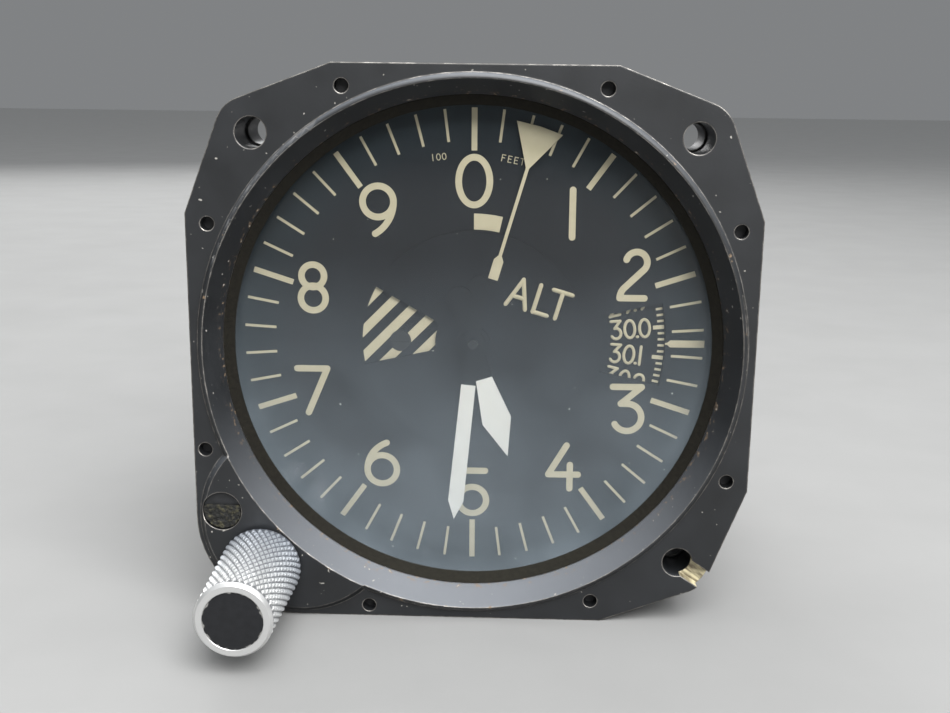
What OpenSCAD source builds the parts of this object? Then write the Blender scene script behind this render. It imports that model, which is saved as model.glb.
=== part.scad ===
// Aircraft altimeter with three pointers, for a round panel opening, held by three corner screws.
// X is to the right on the dial, Y runs from the front to the back of the case, Z is up.
// The origin is on the dial's axis, in the plane of the frame's front face.

/* [Front frame] */
// Diameter of the circle through the panel screw holes
bolt_circle_d = 88.9; // [88:0.1:90]
// Width of the frame across its flat sides
frame_w = 82.4; // [82:0.1:84]
// Length of each straight side
frame_flat = 40; // [36:0.5:44]
// Rounding radius at the three screw corners
corner_r = 5.1; // [4.6:0.1:5.6]
// Rounding radius at the knob corner
knob_corner_r = 15.5; // [14.5:0.1:16]
// Diameter of the panel screw holes
panel_hole_d = 4.5; // [4.1:0.1:4.8]
// Width of the slot from one screw hole to its corner
slot_w = 3; // [2:0.1:3.4]
// Depth of that slot
slot_depth = 1.7; // [1:0.1:3]
// Angle of that slot below the horizontal
slot_angle = 34; // [30:1:45]
// Height of the raised pad at the knob corner
pad_h = 1; // [0.6:0.1:1.4]
// Radius of the foot of the raised pad
pad_r = 14.9; // [14:0.1:15.2]
// Outer diameter of the bezel lip
lip_d = 80.1; // [79.6:0.1:80.8]
// Rounding radius of the lip's shoulder
shoulder_r = 0.8; // [0.5:0.1:1.1]
// Diameter of the opening at the foot of the lip's cone
lip_bore_d = 74.2; // [73.6:0.1:74.8]
// Depth of the foot of the cone behind the front face
cone_depth = 3.3; // [2.8:0.1:3.8]
// Thickness of the lip's inner edge
lip_edge = 0.3; // [0.2:0.1:0.6]

/* [Case screws and lock screw] */
// Radius of the circle of the eight case screws
case_screw_circle_r = 42.3; // [42:0.1:42.6]
// Angle of each case screw from the nearest axis
case_screw_angle = 26; // [24:0.5:27]
// The same angle for the two screws beside the knob
knob_side_angle = 21; // [20:0.5:22]
// Diameter of the case screws
case_screw_d = 2; // [1.6:0.1:2.2]
// Diameter of the recess for the lock screw
lock_d = 5.9; // [5:0.1:6]
// Depth of that recess below the pad
lock_depth = 1.6; // [1.2:0.1:2.4]

/* [Window] */
// Diameter of the glass
glass_d = 77.2; // [76.6:0.1:77.4]
// Thickness of the glass
glass_t = 2; // [1.6:0.1:2.6]
// Inner diameter of the glass gasket
gasket_bore_d = 71.2; // [70.6:0.1:72]
// Thickness of the glass gasket
gasket_t = 1.1; // [0.9:0.1:1.6]
// Thickness of the seat ring behind the glass
seat_t = 1; // [0.8:0.1:1.4]

/* [Case] */
// Outer diameter of the case
case_d = 78.8; // [78.4:0.1:79.2]
// Thickness of the case wall
case_wall = 3.2; // [2.6:0.1:3.4]
// Thickness of the case flange
case_flange_t = 6.8; // [6.6:0.1:8]
// Thickness of the case's back wall
case_back_t = 2.5; // [2:0.1:3.5]
// Height of the static port boss
port_boss_h = 6; // [5:0.5:9]
// Diameter of the static port boss
port_boss_d = 16; // [14:0.5:18]
// Core diameter of the static port thread
port_d = 8.6; // [8.4:0.1:8.8]
// Distance of the static port below the axis
port_drop = 14; // [10:0.5:20]

/* [Setting knob] */
// Tooth count of the pinion on the knob shaft
knob_teeth = 10; // [10:1:11]
// Tooth count of the outer idler
outer_idler_teeth = 12; // [12:1:12]
// Tooth count of the inner idler
inner_idler_teeth = 13; // [13:1:13]
// Tooth count of the setting scale
scale_teeth = 121; // [120:1:121]
// Module of the setting gears
scale_module = 0.5; // [0.49:0.005:0.5]
// Angle of the knob's axis from twelve o'clock
knob_clock = 223.6; // [222:0.1:226]
// Diameter of the knob at its front
knob_d = 11; // [9:0.1:11.5]
// Diameter of the knob at its back
knob_back_d = 12.2; // [11:0.1:12.6]
// Length of the knob
knob_len = 19.6; // [14:0.1:24]
// Gap between the knob and the pad
knob_gap = 0.4; // [0.3:0.1:1]
// Width of the bevel at the knob's front edge
knob_bevel = 0.6; // [0.4:0.1:1]
// Diameter of the black cap
knob_cap_d = 8.4; // [6:0.1:8.4]
// Thickness of the black cap
knob_cap_t = 0.9; // [0.6:0.1:1.5]
// Diameter of the knob shaft
knob_shaft_d = 3.2; // [2.6:0.1:3.4]
// Outer diameter of the knob bush
knob_bush_d = 6; // [5.4:0.1:6.4]

/* [Dial] */
// Diameter of the dial plate
dial_d = 75.2; // [74.6:0.1:75.4]
// Thickness of the dial plate
dial_t = 0.6; // [0.5:0.1:0.8]
// Outer radius of the tick marks
tick_outer_r = 35.15; // [34.5:0.05:36]
// Length of the ten long ticks
long_tick = 6.25; // [5:0.05:7]
// Length of the short ticks
short_tick = 4.8; // [3:0.05:5]
// Width of the long ticks
long_tick_w = 0.85; // [0.6:0.05:1]
// Width of the short ticks
short_tick_w = 0.4; // [0.3:0.05:0.6]
// Height of the numerals
numeral_h = 8.05; // [7:0.05:8.5]
// Stroke width of the numerals
stroke_w = 1; // [0.8:0.05:1.2]
// Thickness of the printed marks
ink_t = 0.06; // [0.05:0.01:0.1]
// Turn of the dial's print, as fitted, anticlockwise in degrees
print_turn = 0.35; // [-0.5:0.05:0.5]
// Inner radius of the setting window
window_inner_r = 19.9; // [19.4:0.1:20.4]
// Outer radius of the setting window
window_outer_r = 29.4; // [29.2:0.1:29.5]
// Half angle of the setting window
window_half_angle = 12.7; // [11:0.1:13.5]
// Width of the warning stripes
stripe_w = 1.4; // [1:0.05:1.6]
// Pitch of the warning stripes
stripe_pitch = 2.86; // [2.6:0.02:3.2]
// Distance of the dial screws from the axis
dial_screw_r = 11.2; // [10.6:0.1:11.6]

/* [Pointers] */
// Thickness of the pointers
hand_t = 0.3; // [0.2:0.05:0.35]
// Gap between one pointer and the next
hand_gap = 0.4; // [0.35:0.05:0.6]
// Length of the 100-foot hand
long_hand = 28.2; // [26:0.1:30]
// Widest width of the 100-foot hand
long_hand_w = 2.4; // [2:0.05:3]
// Length of the 1,000-foot hand
short_hand = 18.7; // [17:0.1:20]
// Widest width of the 1,000-foot hand
short_hand_w = 4.6; // [4:0.1:5]
// Radius of the 10,000-foot disc
disc_r = 17.1; // [16.8:0.1:17.2]
// Outer radius of the needle's triangle
needle_r = 33.9; // [32.5:0.1:34.2]
// Diameter of the 100-foot staff
staff_d = 1.5; // [1.4:0.05:1.6]
// Wall of each pointer sleeve
sleeve_wall = 0.55; // [0.5:0.05:0.6]
// Altitude shown, in feet
altitude_ft = 4515; // [0:5:19000]
// Setting shown, in hundredths of an inch of mercury
setting_hundredths = 3005.4; // [2850:0.2:3080]

/* [Movement] */
// Module of the pointer train
train_module = 0.3; // [0.295:0.001:0.302]
// Module of the sector and its pinion
sector_module = 0.35; // [0.345:0.001:0.352]
// Angle of the drive arbor on the plates
drive_angle = 38; // [36:0.5:40]
// Angle of the line from the rocking shaft to the drive arbor
sector_angle = 28.3; // [27:0.1:29.5]
// Thickness of the wheels
wheel_t = 0.8; // [0.6:0.05:0.9]
// Pitch between one wheel and the next along the axis
level_pitch = 1.4; // [1.3:0.05:1.6]
// Thickness of the main plate
plate_t = 1.5; // [1.3:0.1:1.9]
// Thickness of the bridge and back plates
bridge_t = 1.2; // [1:0.1:1.6]
// Diameter of the bridge and back plates
bridge_d = 66; // [65:0.5:68]
// Diameter of the wheel arbors
arbor_d = 2; // [1.8:0.05:2.2]
// Diameter of the arbors' pivots
pivot_d = 1.2; // [1:0.05:1.3]
// Diameter of the rocking shaft
rocking_d = 2.4; // [2.2:0.1:2.6]
// Throw of the rocking arm
arm_throw = 3.2; // [3:0.05:3.3]
// Diameter of the pillars
pillar_d = 4; // [3.6:0.1:4.6]
// Diameter of the long pillar screws
pillar_screw_d = 1.6; // [1.4:0.1:1.8]
// Diameter of the small fixing screws
small_screw_d = 1.8; // [1.6:0.1:2]

/* [Aneroid capsules] */
// Diameter of the capsules
capsule_d = 32; // [30:0.5:33]
// Thickness of one capsule
capsule_t = 5.4; // [5:0.1:5.6]
// Thickness of the capsule bracket
bracket_t = 1.5; // [1.3:0.1:1.6]
// Half height of the capsule bracket
bracket_half_h = 7; // [6.5:0.5:7.5]

/* [Fits] */
// Radial clearance of turning fits
run_gap = 0.05; // [0.04:0.01:0.08]
// Radial clearance of pressed and screwed fits
fix_gap = 0.02; // [0.01:0.01:0.03]
// Backlash of the gears
backlash = 0.1; // [0.1:0.01:0.12]

/* [Hidden] */
$fn = 96;

// Depths from the front face towards the back, each worked out from the one before
gasket_front = cone_depth + lip_edge;
glass_front = gasket_front + gasket_t;
glass_back = glass_front + glass_t;
frame_t = glass_back + seat_t;
long_hand_y = glass_back + hand_gap + hand_t;
short_hand_y = long_hand_y + hand_t + hand_gap;
disc_y = short_hand_y + hand_t + hand_gap;
dial_screw_head = 0.3;
dial_y = disc_y + hand_t + dial_screw_head + 0.2;
dial_back = dial_y + dial_t;
scale_t = 0.6;
scale_y = dial_back + 0.4;
plate_y = scale_y + scale_t + 0.5;
plate_back = plate_y + plate_t;
case_flange_back = frame_t + case_flange_t;
bridge_y = level(6);
bridge_back = bridge_y + bridge_t;
sector_t = 1;
plate_room = 0.8;
sector_y = bridge_back + plate_room;
back_y = sector_y + sector_t + plate_room;
back_back = back_y + bridge_t;
capsule_y = back_back + bracket_t + 1.7 + capsule_d / 2;
case_inside_back = capsule_y + capsule_d / 2 + 5;
case_back = case_inside_back + case_back_t;

// Radii and places on the front
crest_r = lip_d / 2 - shoulder_r;
rebate_r = glass_d / 2 + 0.3;
case_bore_r = dial_d / 2 + 0.3;
case_inner_r = case_d / 2 - case_wall;
hole_xz = bolt_circle_d / 2 * cos(45);
knob_corner = -(frame_w / 2 - knob_corner_r) * [1, 1];
scale_r = scale_teeth * scale_module / 2;
inner_idler_r = scale_r + inner_idler_teeth * scale_module / 2;
outer_idler_r = inner_idler_r + (inner_idler_teeth + outer_idler_teeth) * scale_module / 2;
knob_axis_r = outer_idler_r + (outer_idler_teeth + knob_teeth) * scale_module / 2;
knob_p = clock_point(knob_axis_r, knob_clock);
outer_idler_p = clock_point(outer_idler_r, knob_clock);
inner_idler_p = clock_point(inner_idler_r, knob_clock);
knob_back = -pad_h - knob_gap;
knob_front = knob_back - knob_len;
lock_gap = 1.5;
lock_p = polar(lip_d / 2 + lock_gap + lock_d / 2, 213.4);
// Least metal of the frame round its lip, its case screws, its lock screw and the knob's bush
lip_land = 0.95;
screw_land = 0.08;
lock_land = 0.9;
bush_land = 2;
hub_r = 13;
window_clock = 90;

// Tooth counts of the two tenfold reductions, which share one centre distance
slow_pinion = 14;
slow_wheel = 56;
fast_pinion = 20;
fast_wheel = 50;
reduction_dist = (slow_pinion + slow_wheel) * train_module / 2;
// Drive from the sector to the 100-foot staff
drive_pinion = 12;
drive_teeth = 90;
sector_pinion = 12;
sector_teeth = 144;
sector_half_teeth = 19;
drive_dist = (drive_pinion + drive_teeth) * train_module / 2;
sector_dist = (sector_pinion + sector_teeth) * sector_module / 2;
sector_r = sector_teeth * sector_module / 2;
drive_ratio = drive_teeth / drive_pinion * sector_teeth / sector_pinion;

// Places of the arbors as seen from the front
first_p = polar(reduction_dist, drive_angle + 90);
second_p = polar(reduction_dist, drive_angle - 90);
drive_p = polar(drive_dist, drive_angle);
rocking_p = drive_p - polar(sector_dist, sector_angle);
pillar_places = [[-26, 10], [-16, -22], [20, -18], [6, 30]];
lug_clocks = [60, 180, 300];
lug_r = 33.5;
lug_d = 7.2;
lug_h = 6;
cock_places = [[2, 14], [4, -15]];

// Pointer angles from twelve o'clock at the altitude shown
long_hand_clock = altitude_ft / 1000 * 360;
short_hand_clock = altitude_ft / 10000 * 360;
disc_clock = altitude_ft / 100000 * 360;
// The sector's middle tooth faces its pinion halfway between the lowest and highest altitude
lowest_ft = -1000;
highest_ft = 20000;
sector_off = ((lowest_ft + highest_ft) / 2 - altitude_ft) / 1000 * 360 / drive_ratio;
sector_mid = sector_angle + sector_off;
arm_angle = 90 + sector_off;
pin_p = rocking_p + polar(arm_throw, arm_angle);
pin_d = 1;
yoke_slot = pin_d + 0.5;
yoke_t = 1.2;
yoke_axis_z = rocking_p.y + arm_throw * 0.88;
capsule_base_x = -31.5;
capsule_stud = 1.5;
capsule_end_x = capsule_base_x + capsule_stud + 2 * capsule_t;
setting_degrees = 9.5;
scale_first = 2810;
scale_last = 3100;

function level(n) = plate_back + 0.6 + (n - 1) * level_pitch;
function polar(r, a) = r * [cos(a), sin(a)];
function clock_point(r, c) = polar(r, 90 - c);
// Angle of a gear whose gap faces a tooth of its neighbour; to is the way from the first gear to the second
function mesh_angle(to, angle, teeth, other_teeth) =
    to + 180 - (0.5 - (to - angle) * teeth / 360) * 360 / other_teeth;
function wedge(r, a0, a1) = concat([[0, 0]], [for (i = [0:24]) polar(r, a0 + (a1 - a0) * i / 24)]);
function involute(r, base_r) = let (a = acos(min(1, base_r / r))) tan(a) - a * PI / 180;

module slab(y0, y1) translate([0, y1, 0]) rotate([90, 0, 0]) linear_extrude(y1 - y0) children();
module turned() rotate([-90, 0, 0]) rotate_extrude() children();
module at(p) translate([p.x, 0, p.y]) children();
module rod(d, y0, y1) translate([0, y0, 0]) rotate([-90, 0, 0]) cylinder(d = d, h = y1 - y0);
module ring(d, bore, y0, y1) slab(y0, y1) difference() {
    circle(d = d);
    circle(d = bore);
}
module ring_sector(r0, r1, a0, a1) intersection() {
    difference() {
        circle(r1);
        circle(r0);
    }
    polygon(wedge(2 * r1, a0, a1));
}

// One tooth centred on an angle: up one involute flank, across the tip and down the other
function tooth(m, teeth, centre) =
    let (
        pitch_r = m * teeth / 2,
        base_r = pitch_r * cos(20),
        root_r = pitch_r - m,
        tip_r = pitch_r + 0.75 * m,
        radii = base_r > root_r + 0.1 * m ? [root_r, base_r, pitch_r, tip_r] : [root_r, pitch_r, tip_r],
        half_pitch = (PI * m / 2 - backlash) / 2 / pitch_r,
        spread = half_pitch + involute(pitch_r, base_r),
        half = [for (r = radii) (spread - involute(max(r, base_r), base_r)) * 180 / PI],
        last = len(radii) - 1
    )
    concat(
        [for (i = [0:last]) polar(radii[i], centre - half[i])],
        [for (i = [last:-1:0]) polar(radii[i], centre + half[i])]
    );
module gear(m, teeth, angle) polygon([
    for (i = [0:teeth - 1]) each tooth(m, teeth, angle + i * 360 / teeth)
]);
// A spoked wheel: a gear with round openings between hub and rim
module wheel(m, teeth, angle, bore, openings) difference() {
    gear(m, teeth, angle);
    circle(d = bore);
    rim_r = m * teeth / 2 - 2 * m;
    hub = bore / 2 + 1;
    for (i = [0:openings - 1])
        rotate(i * 360 / openings) translate([(rim_r + hub) / 2, 0]) circle(d = (rim_r - hub) * 0.8);
}

// Angles of the gears at the setting and altitude shown
knob_gear_a = 90 - knob_clock + 180;
outer_idler_a = mesh_angle(knob_gear_a, knob_gear_a, knob_teeth, outer_idler_teeth);
inner_idler_a = mesh_angle(knob_gear_a, outer_idler_a, outer_idler_teeth, inner_idler_teeth);
scale_a = mesh_angle(knob_gear_a, inner_idler_a, inner_idler_teeth, scale_teeth);
to_first = drive_angle + 90;
to_second = drive_angle - 90;
first_wheel_a = mesh_angle(to_first, 0, fast_pinion, fast_wheel);
first_pinion_a = 0;
thousand_wheel_a = mesh_angle(to_first + 180, first_pinion_a, slow_pinion, slow_wheel);
second_wheel_a = mesh_angle(to_second, 0, fast_pinion, fast_wheel);
second_pinion_a = 0;
ten_thousand_wheel_a = mesh_angle(to_second + 180, second_pinion_a, slow_pinion, slow_wheel);
drive_wheel_a = mesh_angle(drive_angle, 0, drive_pinion, drive_teeth);
sector_pinion_a = mesh_angle(sector_angle, sector_mid, sector_teeth, sector_pinion);

/* Front frame, glass and case */
module frame_outline() {
    half = frame_w / 2;
    corner = [hole_xz, hole_xz];
    reach = [frame_flat / 2, half] - corner;
    spread = atan2(reach.y, reach.x) - acos(corner_r / norm(reach));
    upper = corner + polar(corner_r, spread);
    lower = [upper.y, upper.x];
    knob_side = half - knob_corner_r;
    polygon([
        [-frame_flat / 2, half], [frame_flat / 2, half], upper, lower,
        [half, frame_flat / 2], [half, -frame_flat / 2], [lower.x, -lower.y], [upper.x, -upper.y],
        [frame_flat / 2, -half], [-knob_side, -half], [-half, -knob_side],
        [-half, frame_flat / 2], [-lower.x, lower.y], [-upper.x, upper.y]
    ]);
    for (p = screw_corners()) translate(p) circle(corner_r);
    translate(knob_corner) circle(knob_corner_r);
    circle(lip_d / 2 + lip_land);
    for (c = case_screw_clocks())
        translate(clock_point(case_screw_circle_r, c)) circle(case_head_d / 2 + screw_land);
    translate(lock_p) circle(lock_d / 2 + lock_land);
    translate(knob_p) circle(knob_bush_d / 2 + bush_land);
}
case_head_d = 1.6 * case_screw_d;
function screw_corners() = [[-hole_xz, hole_xz], [hole_xz, hole_xz], [hole_xz, -hole_xz]];
function case_screw_clocks() = [
    -case_screw_angle, case_screw_angle, 90 - case_screw_angle, 90 + case_screw_angle,
    180 - case_screw_angle, 180 + knob_side_angle, 270 - knob_side_angle, 270 + case_screw_angle
];

module front_frame() color("#2b2b2d") difference() {
    union() {
        slab(0, frame_t) frame_outline();
        turned() translate([crest_r, 0]) circle(shoulder_r);
        intersection() {
            slab(-pad_h, frame_t) frame_outline();
            at(knob_corner) translate([0, -pad_h, 0]) rotate([-90, 0, 0])
                cylinder(r1 = pad_r - pad_h * 0.8, r2 = pad_r, h = pad_h);
        }
    }
    slope = (crest_r - lip_bore_d / 2) / (cone_depth + shoulder_r);
    turned() polygon([
        [0, -pad_h - 1], [crest_r + slope * (pad_h + 1 - shoulder_r), -pad_h - 1],
        [lip_bore_d / 2, cone_depth], [lip_bore_d / 2, gasket_front],
        [rebate_r, gasket_front], [rebate_r, frame_t + 1], [0, frame_t + 1]
    ]);
    for (p = screw_corners()) at(p) rod(panel_hole_d, -1, frame_t + 1);
    for (c = case_screw_clocks())
        at(clock_point(case_screw_circle_r, c)) rod(case_screw_d + 2 * fix_gap, -pad_h - 1, frame_t + 1);
    at([hole_xz, -hole_xz]) rotate([0, slot_angle, 0]) translate([0, -1, -slot_w / 2])
        cube([3 * corner_r, slot_depth + 1, slot_w]);
    at(lock_p) rod(lock_d, -pad_h - 1, lock_depth - pad_h);
    at(lock_p) rod(small_screw_d + 2 * fix_gap, -pad_h, frame_t - 1.5);
    at(knob_p) rod(knob_bush_d + 2 * fix_gap, -pad_h - 1, frame_t + 1);
}

module glass_gasket() color("#1f1b17") turned() polygon([
    [gasket_bore_d / 2, glass_front - 0.15], [lip_bore_d / 2 - 0.05, gasket_front],
    [rebate_r - fix_gap, gasket_front], [rebate_r - fix_gap, glass_front], [gasket_bore_d / 2, glass_front]
]);

module glass() color("#c8d8dc", 0.3) rod(glass_d, glass_front, glass_back);

module glass_seat() color("#1d1d1d") ring(2 * (rebate_r - fix_gap), 2 * case_bore_r, glass_back, frame_t);

module knob_pocket() {
    room = scale_module + 0.4;
    idler_w = (outer_idler_teeth + 2) * scale_module + 2 * room;
    pinion_w = (knob_teeth + 2) * scale_module + 2 * room;
    rotate(90 - knob_clock) {
        translate([hub_r, -idler_w / 2]) square([outer_idler_r - hub_r, idler_w]);
        translate([outer_idler_r, 0]) circle(d = idler_w);
        translate([outer_idler_r, -pinion_w / 2]) square([knob_axis_r - outer_idler_r, pinion_w]);
        translate([knob_axis_r, 0]) circle(d = pinion_w);
    }
}

module case_body() color("#343436") difference() {
    union() {
        slab(frame_t, case_flange_back) frame_outline();
        rod(case_d, frame_t, case_back);
        at([0, -port_drop]) rod(port_boss_d, case_inside_back, case_back + port_boss_h);
    }
    rod(2 * case_bore_r, frame_t - 1, plate_back);
    slab(frame_t - 1, plate_back) knob_pocket();
    difference() {
        rod(2 * case_inner_r, plate_back - 1, case_inside_back);
        for (c = lug_clocks) at(clock_point(lug_r, c)) rod(lug_d, plate_back, plate_back + lug_h);
    }
    for (c = lug_clocks)
        at(clock_point(lug_r, c)) rod(small_screw_d + 2 * fix_gap, plate_back - 1, plate_back + lug_h - 1);
    for (p = screw_corners()) at(p) rod(panel_hole_d - 0.6, frame_t - 1, case_flange_back + 1);
    for (c = case_screw_clocks())
        at(clock_point(case_screw_circle_r, c)) rod(case_screw_d + 0.3, frame_t - 1, case_flange_back + 1);
    at([0, -port_drop]) rod(port_d, case_inside_back - 1, case_back + port_boss_h + 1);
}

module pan_screw(d, head_d, head_h, seat_y, end_y) difference() {
    union() {
        rod(d, min(seat_y, end_y), max(seat_y, end_y));
        rod(head_d, min(seat_y, seat_y + head_h), max(seat_y, seat_y + head_h));
    }
    translate([0, seat_y + head_h, 0]) cube([2 * head_d, abs(head_h), d / 4], center = true);
}

module case_screws() color("#8d8f92") for (c = case_screw_clocks())
    at(clock_point(case_screw_circle_r, c))
        pan_screw(case_screw_d, case_head_d, 0.7 * case_screw_d, case_flange_back, 2);

module lock_screw() color("#5d5a3c") at(lock_p)
    pan_screw(small_screw_d, lock_d - 0.2, -0.9, lock_depth - pad_h, frame_t - 2);

/* Setting knob and scale */
module knob_bush() color("#a5874b") at(knob_p)
    ring(knob_bush_d, knob_shaft_d + 2 * run_gap, -pad_h, frame_t - 2.5);

module knob_seal() color("#191919") at(knob_p)
    ring(knob_bush_d - 0.1, knob_shaft_d + 2 * run_gap, frame_t - 2.5, frame_t - 0.8);

module setting_knob() color("#b9bcc0") at(knob_p) difference() {
    turned() polygon([
        [0, knob_back], [knob_back_d / 2 - 0.3, knob_back], [knob_back_d / 2, knob_back - 0.3],
        [knob_d / 2, knob_front + knob_bevel], [knob_d / 2 - knob_bevel * 0.6, knob_front], [0, knob_front]
    ]);
    rod(knob_cap_d + 2 * fix_gap, knob_front - 1, knob_front + knob_cap_t);
    rod(knob_shaft_d + 2 * fix_gap, knob_front + knob_len * 0.3, knob_back + 1);
}

module knob_cap() color("#3a3b3f") at(knob_p) rod(knob_cap_d, knob_front + 0.1, knob_front + knob_cap_t);

module knob_shaft() color("#9a9ca0") at(knob_p) {
    rod(knob_shaft_d, knob_front + knob_len * 0.3, scale_y + scale_t + 0.4);
    slab(scale_y - 0.2, scale_y + scale_t + 0.2) gear(scale_module, knob_teeth, knob_gear_a);
}

module idler(teeth, angle, p) at(p) slab(scale_y - 0.1, scale_y + scale_t + 0.1) difference() {
    gear(scale_module, teeth, angle);
    circle(d = arbor_d + 2 * run_gap);
}
module outer_idler() color("#c9a24a") idler(outer_idler_teeth, outer_idler_a, outer_idler_p);
module inner_idler() color("#c9a24a") idler(inner_idler_teeth, inner_idler_a, inner_idler_p);

module idler_posts() color("#9a9ca0") for (p = [outer_idler_p, inner_idler_p]) at(p) {
    rod(arbor_d, dial_back + 0.1, plate_y);
    rod(pivot_d, plate_y, plate_back - 0.2);
}

module setting_scale() color("#2a2c30") slab(scale_y, scale_y + scale_t) difference() {
    gear(scale_module, scale_teeth, scale_a);
    circle(hub_r + run_gap);
}

function setting_clock(hundredths) =
    window_clock + (hundredths - setting_hundredths) / 10 * setting_degrees;
module setting_scale_marks() color("#d6cfae") slab(scale_y - ink_t, scale_y)
    for (v = [scale_first:2:scale_last]) {
        long_mark = v % 10 == 0;
        mark_w = long_mark ? 0.6 : 0.35;
        mark_l = long_mark ? 1.7 : 1;
        rotate(-setting_clock(v)) translate([-mark_w / 2, window_outer_r - 0.1 - mark_l])
            square([mark_w, mark_l]);
    }

/* Dial and its print */
module dial() color("#26292c") slab(dial_y, dial_back) difference() {
    circle(d = dial_d);
    circle(d = ten_thousand_sleeve_d() + 0.5);
    ring_sector(window_inner_r, window_outer_r, 90 - window_clock - window_half_angle,
        90 - window_clock + window_half_angle);
    for (s = [-1, 1]) translate([s * dial_screw_r, 0]) circle(d = small_screw_d + 2 * fix_gap);
}

// Pen strokes for the numerals: a straight one and a round one
module pen(a, b) {
    way = b - a;
    translate(a) rotate(atan2(way.y, way.x)) translate([0, -stroke_w / 2]) square([norm(way), stroke_w]);
    for (p = [a, b]) translate(p) circle(d = stroke_w);
}
module pen_arc(c, r, a0, a1) {
    translate(c) ring_sector(r - stroke_w / 2, r + stroke_w / 2, a0, a1);
    for (a = [a0, a1]) translate(c + polar(r, a)) circle(d = stroke_w);
}
module numeral(n) {
    top = (numeral_h - stroke_w) / 2;
    wide = top * 0.66;
    bowl = top * 0.62;
    low = [0, bowl - top];
    if (n == 0) difference() {
        scale([wide + stroke_w / 2, top + stroke_w / 2]) circle(1);
        scale([wide - stroke_w / 2, top - stroke_w / 2]) circle(1);
    }
    if (n == 1) pen([0, -top], [0, top]);
    if (n == 2) {
        // A round head and a round foot, joined by a line that leaves each a little before it would touch
        head_r = top * 0.45;
        foot_r = top * 0.63;
        head = [top * 0.1, top - head_r];
        foot = [top * 0.05, -top];
        way = foot - head;
        lean = atan2(way.y, way.x) - asin((head_r + foot_r) / norm(way)) + 95;
        pen_arc(head, head_r, lean, 165);
        pen(head + polar(head_r, lean), foot - polar(foot_r, lean));
        pen_arc(foot, foot_r, lean + 180, 180);
        pen(foot - [foot_r, 0], [top * 0.48, -top]);
    }
    if (n == 3) {
        pen([-wide, top], [wide * 0.9, top]);
        pen([wide * 0.9, top], [-wide * 0.45, low.y + bowl]);
        pen([-wide * 0.45, low.y + bowl], [0, low.y + bowl]);
        pen_arc(low, bowl, -150, 90);
    }
    if (n == 4) {
        pen([wide * 0.2, top], [-wide, -top * 0.35]);
        pen([-wide, -top * 0.35], [wide, -top * 0.35]);
        pen([wide * 0.45, top * 0.1], [wide * 0.45, -top]);
    }
    if (n == 5) {
        pen([-wide * 0.7, top], [wide * 0.85, top]);
        pen([-wide * 0.7, top], low + polar(bowl, 140));
        pen_arc(low, bowl, -150, 140);
    }
    if (n == 6 || n == 9) rotate(n == 6 ? 0 : 180) {
        eye_r = top * 0.66;
        eye = [0, eye_r - top];
        tail_r = eye_r * (n == 6 ? 2 : 2.4);
        tail_a = n == 6 ? 110 : 120;
        translate(eye) difference() {
            circle(eye_r + stroke_w / 2);
            circle(eye_r - stroke_w / 2);
        }
        pen_arc(eye + [tail_r - eye_r, 0], tail_r, tail_a, 180);
    }
    if (n == 7) {
        pen([-wide, top], [wide, top]);
        pen([wide, top], [-wide * 0.3, -top]);
    }
    if (n == 8) for (loop = [[-1, top * 0.54], [1, top * 0.49]]) translate([0, loop[0] * (top - loop[1])])
        difference() {
            circle(loop[1] + stroke_w / 2);
            circle(loop[1] - stroke_w / 2);
        }
}

// Clock angle and radius of each numeral; those beside the setting window stand away from it
numeral_places = [
    [0, 24.4], [36.8, 24.6], [66.5, 26.4], [113.5, 26.1], [144.5, 24.5],
    [180, 24.3], [216, 24.2], [252, 26.2], [288.3, 25.8], [324.3, 24.7]
];
flag_r = [5.8, 17.3];
flag_clocks = [225, 300];
// The patch below the zero, and the index beside the setting window
patch_r = [17.2, 19.6];
patch_clocks = [0, 12.8];
index_r = [29.3, 30.1, 35.3];
index_w = 1.1;

module dial_marks() color("#d6cfae") slab(dial_y - ink_t, dial_y) rotate(print_turn) {
    for (i = [0:49]) {
        long_mark = i % 5 == 0;
        mark_w = long_mark ? long_tick_w : short_tick_w;
        mark_l = long_mark ? long_tick : short_tick;
        rotate(-i * 7.2) translate([-mark_w / 2, tick_outer_r - mark_l]) square([mark_w, mark_l]);
    }
    for (n = [0:9]) translate(clock_point(numeral_places[n][1], numeral_places[n][0])) numeral(n);
    ring_sector(patch_r[0], patch_r[1], 90 - patch_clocks[1], 90 - patch_clocks[0]);
    rotate(90 - window_clock) polygon([
        [index_r[0], -index_w / 8], [index_r[1] - 0.5, -index_w / 8], [index_r[1], -index_w / 2],
        [index_r[2], -index_w / 2], [index_r[2], index_w / 2], [index_r[1], index_w / 2],
        [index_r[1] - 0.5, index_w / 8], [index_r[0], index_w / 8]
    ]);
    difference() {
        intersection() {
            ring_sector(flag_r[0], flag_r[1], 90 - flag_clocks[1], 90 - flag_clocks[0]);
            rotate(45) for (i = [-8:8])
                translate([-2 * flag_r[1], i * stripe_pitch + stripe_pitch * 0.3])
                    square([4 * flag_r[1], stripe_w]);
        }
        translate([-dial_screw_r, 0]) circle(d = dial_screw_d() + 0.2);
    }
}

function dial_screw_d() = 3.1;
module dial_screws() color("#1e1e20") for (s = [-1, 1]) at([s * dial_screw_r, 0])
    pan_screw(small_screw_d, dial_screw_d(), -dial_screw_head, dial_y, plate_y + plate_t * 0.6);

/* Pointers and their sleeves */
function thousand_sleeve_bore() = staff_d + 2 * run_gap;
function thousand_sleeve_d() = thousand_sleeve_bore() + 2 * sleeve_wall;
function ten_thousand_sleeve_bore() = thousand_sleeve_d() + 2 * run_gap;
function ten_thousand_sleeve_d() = ten_thousand_sleeve_bore() + 2 * sleeve_wall;

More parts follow.
